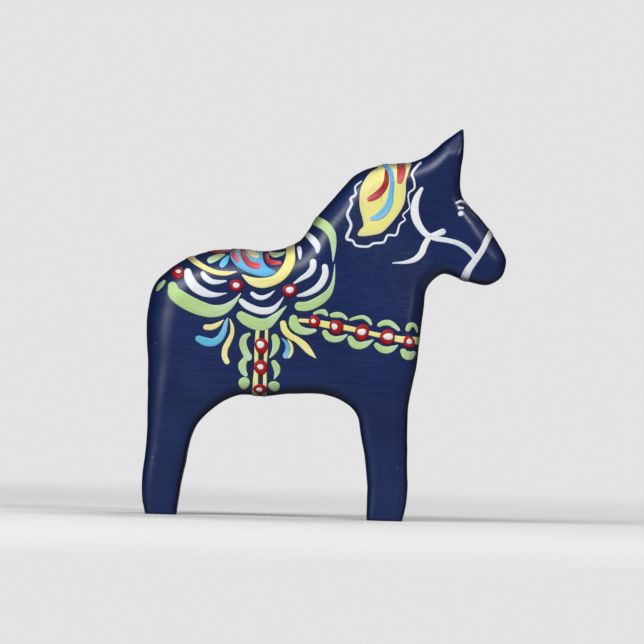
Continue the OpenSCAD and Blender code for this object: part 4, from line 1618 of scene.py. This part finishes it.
@dataclass
class Tassels(Brushwork):
    """Blue and yellow tassels that hang from the saddle's edge."""

    blue: Colour = Colour(
        "tassels_blue", Paint.BLUE, Layer.FIRST,
        strokes=(
            ((-41.7, 58.1, 2.2), (-39.5, 57.3, 2.8), (-37, 57.1, 2.6), (-34.8, 58.5, 2.3),
             (-33.5, 61, 1.9), (-32.8, 64, 1.1), (-32.3, 65.2, 0.4)),
            ((-14.3, 59, 0.4), (-13.1, 58, 0.9), (-12.4, 56.5, 1.3), (-12.4, 54.8, 1.7),
             (-12.9, 53.5, 2)),
        ),
    )
    yellow: Colour = Colour(
        "tassels_yellow", Paint.YELLOW, Layer.SECOND,
        strokes=(
            ((-39.4, 62, 1.8), (-37.4, 62.1, 1.9), (-35.4, 63.1, 1.4), (-33.8, 64.5, 0.3)),
            ((-31.6, 64.8, 0.4), (-30.8, 62.5, 1.1), (-30.8, 60, 1.4), (-31.8, 57.5, 1.8),
             (-32.9, 55, 1.9), (-33, 52.6, 1.9), (-32.2, 50.9, 1.8)),
            ((-14.1, 64, 2), (-13.5, 61.9, 2.2), (-11.8, 60.1, 2.1), (-9.3, 58.8, 2),
             (-7, 57, 2.4), (-5, 54.9, 1.9), (-3.1, 53.1, 0.4)),
            ((-12.3, 58.6, 0.4), (-11.4, 57.3, 0.9), (-10.9, 55.6, 1), (-11.3, 53.8, 1),
             (-12, 52.8, 0.5)),
        ),
    )


@dataclass
class Collar(Brushwork):
    """Collar round the chest: strap, leaves along both of its edges, and rosettes on it."""

    strap: Colour = Colour(
        "collar_strap", Paint.YELLOW, Layer.FIRST,
        strokes=(
            ((-8.6, 65.2, 1.2), (-5.5, 65, 1.4), (0, 64.1, 2.2), (6.5, 63.2, 1.8), (10, 62.6, 1.6),
             (16, 61.4, 1.5), (20, 60.7, 1.7), (24.5, 60, 2.1), (29.5, 59.7, 2.4),
             (35, 59.5, 2.4)),
        ),
    )
    leaves: Colour = Colour(
        "collar_leaves", Paint.GREEN, Layer.FIRST,
        strokes=(
            ((-10.7, 65.6, 2.7), (-10.5, 63.8, 3.2), (-8.6, 62.1, 2.8), (-6, 61.6, 2.2),
             (-3.6, 62, 1.2)),
            ((-3.9, 67.6, 0.9), (-2.3, 68.2, 1.3), (-0.8, 68.2, 1.8), (0.1, 67.4, 1.2)),
            ((1.9, 67.2, 1.4), (3.5, 67.4, 1.9), (5.3, 67.2, 1.5), (6.8, 66.1, 0.8)),
            ((8, 65.9, 0.8), (10, 66.6, 1.1), (12.2, 66.9, 1.3), (13.9, 66, 1.4),
             (14.8, 64.7, 0.9)),
            ((17.6, 64.5, 1.4), (19, 65.2, 1.8), (21, 65.2, 1.9), (22.9, 64.1, 1.5),
             (24, 63.1, 1)),
            ((27, 63.4, 1.6), (27.6, 64.6, 1.8), (28.9, 64.8, 1.4), (29.8, 63.8, 1),
             (30.1, 62.6, 0.5)),
            ((-0.2, 61.4, 1.9), (1, 59.9, 2.2), (3.2, 59.3, 2), (5.3, 59.8, 1.7), (7, 60.9, 0.5)),
            ((8.2, 59.7, 2), (9.3, 58.1, 2.6), (11.3, 57.5, 2.4), (13.6, 58.2, 1.9),
             (15.7, 59.5, 0.4)),
            ((16.9, 57.8, 1.8), (18.3, 56.7, 2.2), (20.3, 56.3, 2.3), (22.2, 56.9, 1.8),
             (23.8, 58, 0.4)),
            ((25.7, 56, 2), (26.8, 54.8, 2.8), (28.2, 54.8, 2.8), (29.2, 55.5, 1.6)),
        ),
    )
    rosettes: Colour = Colour(
        "collar_rosettes", Paint.RED, Layer.DROP,
        dabs=(
            (-3.8, 65, 1.9, 2.1), (3.5, 63.4, 2.4, 2.4), (12, 61.9, 2.4, 2.7),
            (20.4, 60.6, 2.4, 2.7), (27.5, 59.2, 1.8, 2.2),
        ),
    )
    centres: Colour = Colour(
        "collar_rosette_centres", Paint.WHITE, Layer.CENTRE,
        dabs=(
            (-4.1, 65.1, 0.8, 0.8), (2.9, 63.5, 1, 1.1), (11.9, 62, 1.5, 1.1),
            (20.6, 60.7, 1.6, 1.2), (27.5, 59.3, 0.9, 1),
        ),
    )


@dataclass
class Girth(Brushwork):
    """Girth down each flank and under the belly: two straps, rosettes between them and leaves."""

    straps: Colour = Colour(
        "girth_straps", Paint.YELLOW, Layer.FIRST,
        strokes=(
            ((-22.3, 62.5, 1.3), (-22.6, 56, 1.3), (-22.5, 50, 1.3), (-22.6, 44, 1.7),
             (-22.7, 36, 1.7)),
            ((-19.5, 63, 1), (-19.4, 56, 1.1), (-19.6, 50, 1.1), (-19.5, 44, 1.2),
             (-19.5, 36, 1.2)),
        ),
    )
    leaves: Colour = Colour(
        "girth_leaves", Paint.GREEN, Layer.FIRST,
        strokes=(
            ((-25.2, 60.1, 1.1), (-26.7, 58.9, 2), (-27.1, 56.8, 2.4), (-26.3, 54.5, 2.4),
             (-25.2, 52.6, 2.5)),
            ((-26.2, 51.8, 1.8), (-27.1, 49.9, 2.6), (-26.7, 48, 2.2), (-25.9, 46.8, 1.4)),
            ((-16.7, 59.4, 2.2), (-16.2, 57.8, 2.5), (-16.4, 55.7, 2.1), (-17.3, 53.8, 1.2),
             (-18.2, 52.6, 0.3)),
            ((-16.7, 51, 1.8), (-15.8, 49.5, 2.3), (-15.6, 47.9, 1.8), (-16.1, 46.5, 0.9),
             (-16.5, 45.6, 0.2)),
        ),
        dabs=(
            (-26.3, 44, 1.9, 1.9), (-16.4, 43.3, 1.8, 1.7),
        ),
    )
    rosettes: Colour = Colour(
        "girth_rosettes", Paint.RED, Layer.DROP,
        dabs=(
            (-21, 56.4, 2.3, 2.6), (-21, 49.4, 2.4, 2.4), (-21, 42.2, 2.4, 1.6),
        ),
    )
    centres: Colour = Colour(
        "girth_rosette_centres", Paint.WHITE, Layer.CENTRE,
        dabs=(
            (-21.3, 56.8, 1.3, 1.2), (-21.1, 49.5, 1.1, 0.9), (-21.2, 42.2, 1.1, 0.6),
        ),
    )


# ---- Studio ------------------------------------------------------------------------------------


@dataclass
class Studio:
    """A pale table that fades into pale air, soft boxes on both sides, and a long lens."""

    lens: float = 700.0
    frame_width: float = 0.213
    aim: tuple[float, float] = (-0.0013, 0.0649)
    roll: float = 1.75
    table_radius: float = 1.2
    pale: float = 0.66
    bounce: float = 0.3
    fade: tuple[float, float] = (0.12, 0.70)
    air_as_light: float = 0.08
    air_seen: float = 0.77

    def build(self) -> None:
        """Makes the table, the air, the lights and the camera."""
        self._table()
        self._air()
        self._lights()
        self._camera()

    def _table(self) -> None:
        """A disc whose cover fades out towards its edge."""
        turn = np.linspace(0, 2 * np.pi, 97)[:-1]
        rim = np.stack([np.cos(turn), np.sin(turn), 0 * turn], 1) * self.table_radius
        mesh = bpy.data.meshes.new("table")
        mesh.from_pydata(rim.tolist(), [], [list(range(len(rim)))])
        made = bpy.data.objects.new("table", mesh)
        bpy.context.scene.collection.objects.link(made)
        material = bpy.data.materials.new("pale_table")
        material.use_nodes = True
        pen = NodeWriter(material.node_tree)
        shader = material.node_tree.nodes["Principled BSDF"]
        away = pen.add("VectorMath", operation="LENGTH")
        material.node_tree.links.new(pen.add("TexCoord").outputs["Object"], away.inputs[0])
        start, end = (self.table_radius * share for share in self.fade)
        clear = pen.ramp(away.outputs["Value"], start, end)
        seen = pen.add("LightPath").outputs["Is Camera Ray"]
        pale, dim = ((level, level, level, 1) for level in (self.pale, self.bounce))
        cover = pen.math("SUBTRACT", 1.0, clear)
        pen.feed(shader, Alpha=cover, Base_Color=pen.blend(seen, dim, pale))
        shader.inputs["Roughness"].default_value = 0.9
        shader.inputs["Specular IOR Level"].default_value = 0.1
        mesh.materials.append(material)
        made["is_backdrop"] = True

    def _air(self) -> None:
        """Pale air behind everything, dimmer as a light than as a backdrop."""
        bpy.context.scene.view_settings.view_transform = "Standard"
        world = bpy.data.worlds.new("studio_air")
        bpy.context.scene.world = world
        world.use_nodes = True
        pen = NodeWriter(world.node_tree)
        seen = pen.add("LightPath").outputs["Is Camera Ray"]
        ground = world.node_tree.nodes["Background"]
        ground.inputs["Color"].default_value = (1, 1, 1, 1)
        level = pen.add("MapRange")
        pen.feed(level, Value=seen, To_Min=self.air_as_light, To_Max=self.air_seen)
        pen.feed(ground, Strength=level.outputs[0])

    def _lights(self) -> None:
        """Soft boxes: name, place, aim, width, height in metres, and power in watts."""
        for name, place, aim, width, height, power in (
            ("left_box", (-0.78, -1.00, 0.72), (0, 0, 0.06), 0.75, 0.90, 16.0),
            ("right_box", (0.78, -0.55, 0.72), (0, 0, 0.07), 0.18, 0.40, 4.5),
            ("front_box", (-0.20, -0.85, 1.20), (0, 0, 0.06), 0.7, 0.4, 6.0),
            ("back_box", (0.5, 0.8, 1.1), (0, 0, 0.05), 0.8, 0.5, 9.0),
        ):
            lamp = bpy.data.lights.new(name, "AREA")
            lamp.shape, lamp.size, lamp.size_y, lamp.energy = "RECTANGLE", width, height, power
            made = bpy.data.objects.new(name, lamp)
            bpy.context.scene.collection.objects.link(made)
            made.location = place
            way = made.location - type(made.location)(aim)
            made.rotation_euler = way.to_track_quat("Z", "Y").to_euler()

    def _camera(self) -> None:
        """A level camera that looks across the horse, rolled as it is held."""
        lens = bpy.data.cameras.new("camera")
        lens.lens = self.lens
        made = bpy.data.objects.new("camera", lens)
        bpy.context.scene.collection.objects.link(made)
        away = self.frame_width * self.lens / lens.sensor_width
        made.location = (self.aim[0], -away, self.aim[1])
        made.rotation_euler = (math.pi / 2, -math.radians(self.roll), 0)
        bpy.context.scene.camera = made


def corners() -> list[list[float]]:
    """Lowest and highest corner of the shown object, in metres."""
    return [list(corner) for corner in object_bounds()]


def main() -> None:
    """Builds the horse, its brushwork and the studio."""
    logging.basicConfig(level=logging.INFO, format="%(message)s")
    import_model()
    carving = Carving(height=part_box("pine_body")[1].z / MM)
    workshop = Workshop(Effects())
    body = WoodAndCoat(carving)
    body.build(workshop)
    for part in (Mane(), Bridle(), Saddle(), Tassels(), Collar(), Girth()):
        LOG.info("%s", type(part).__name__)
        part.build(workshop, carving, body.thickness)
    Studio().build()


if __name__ == "__main__":
    main()
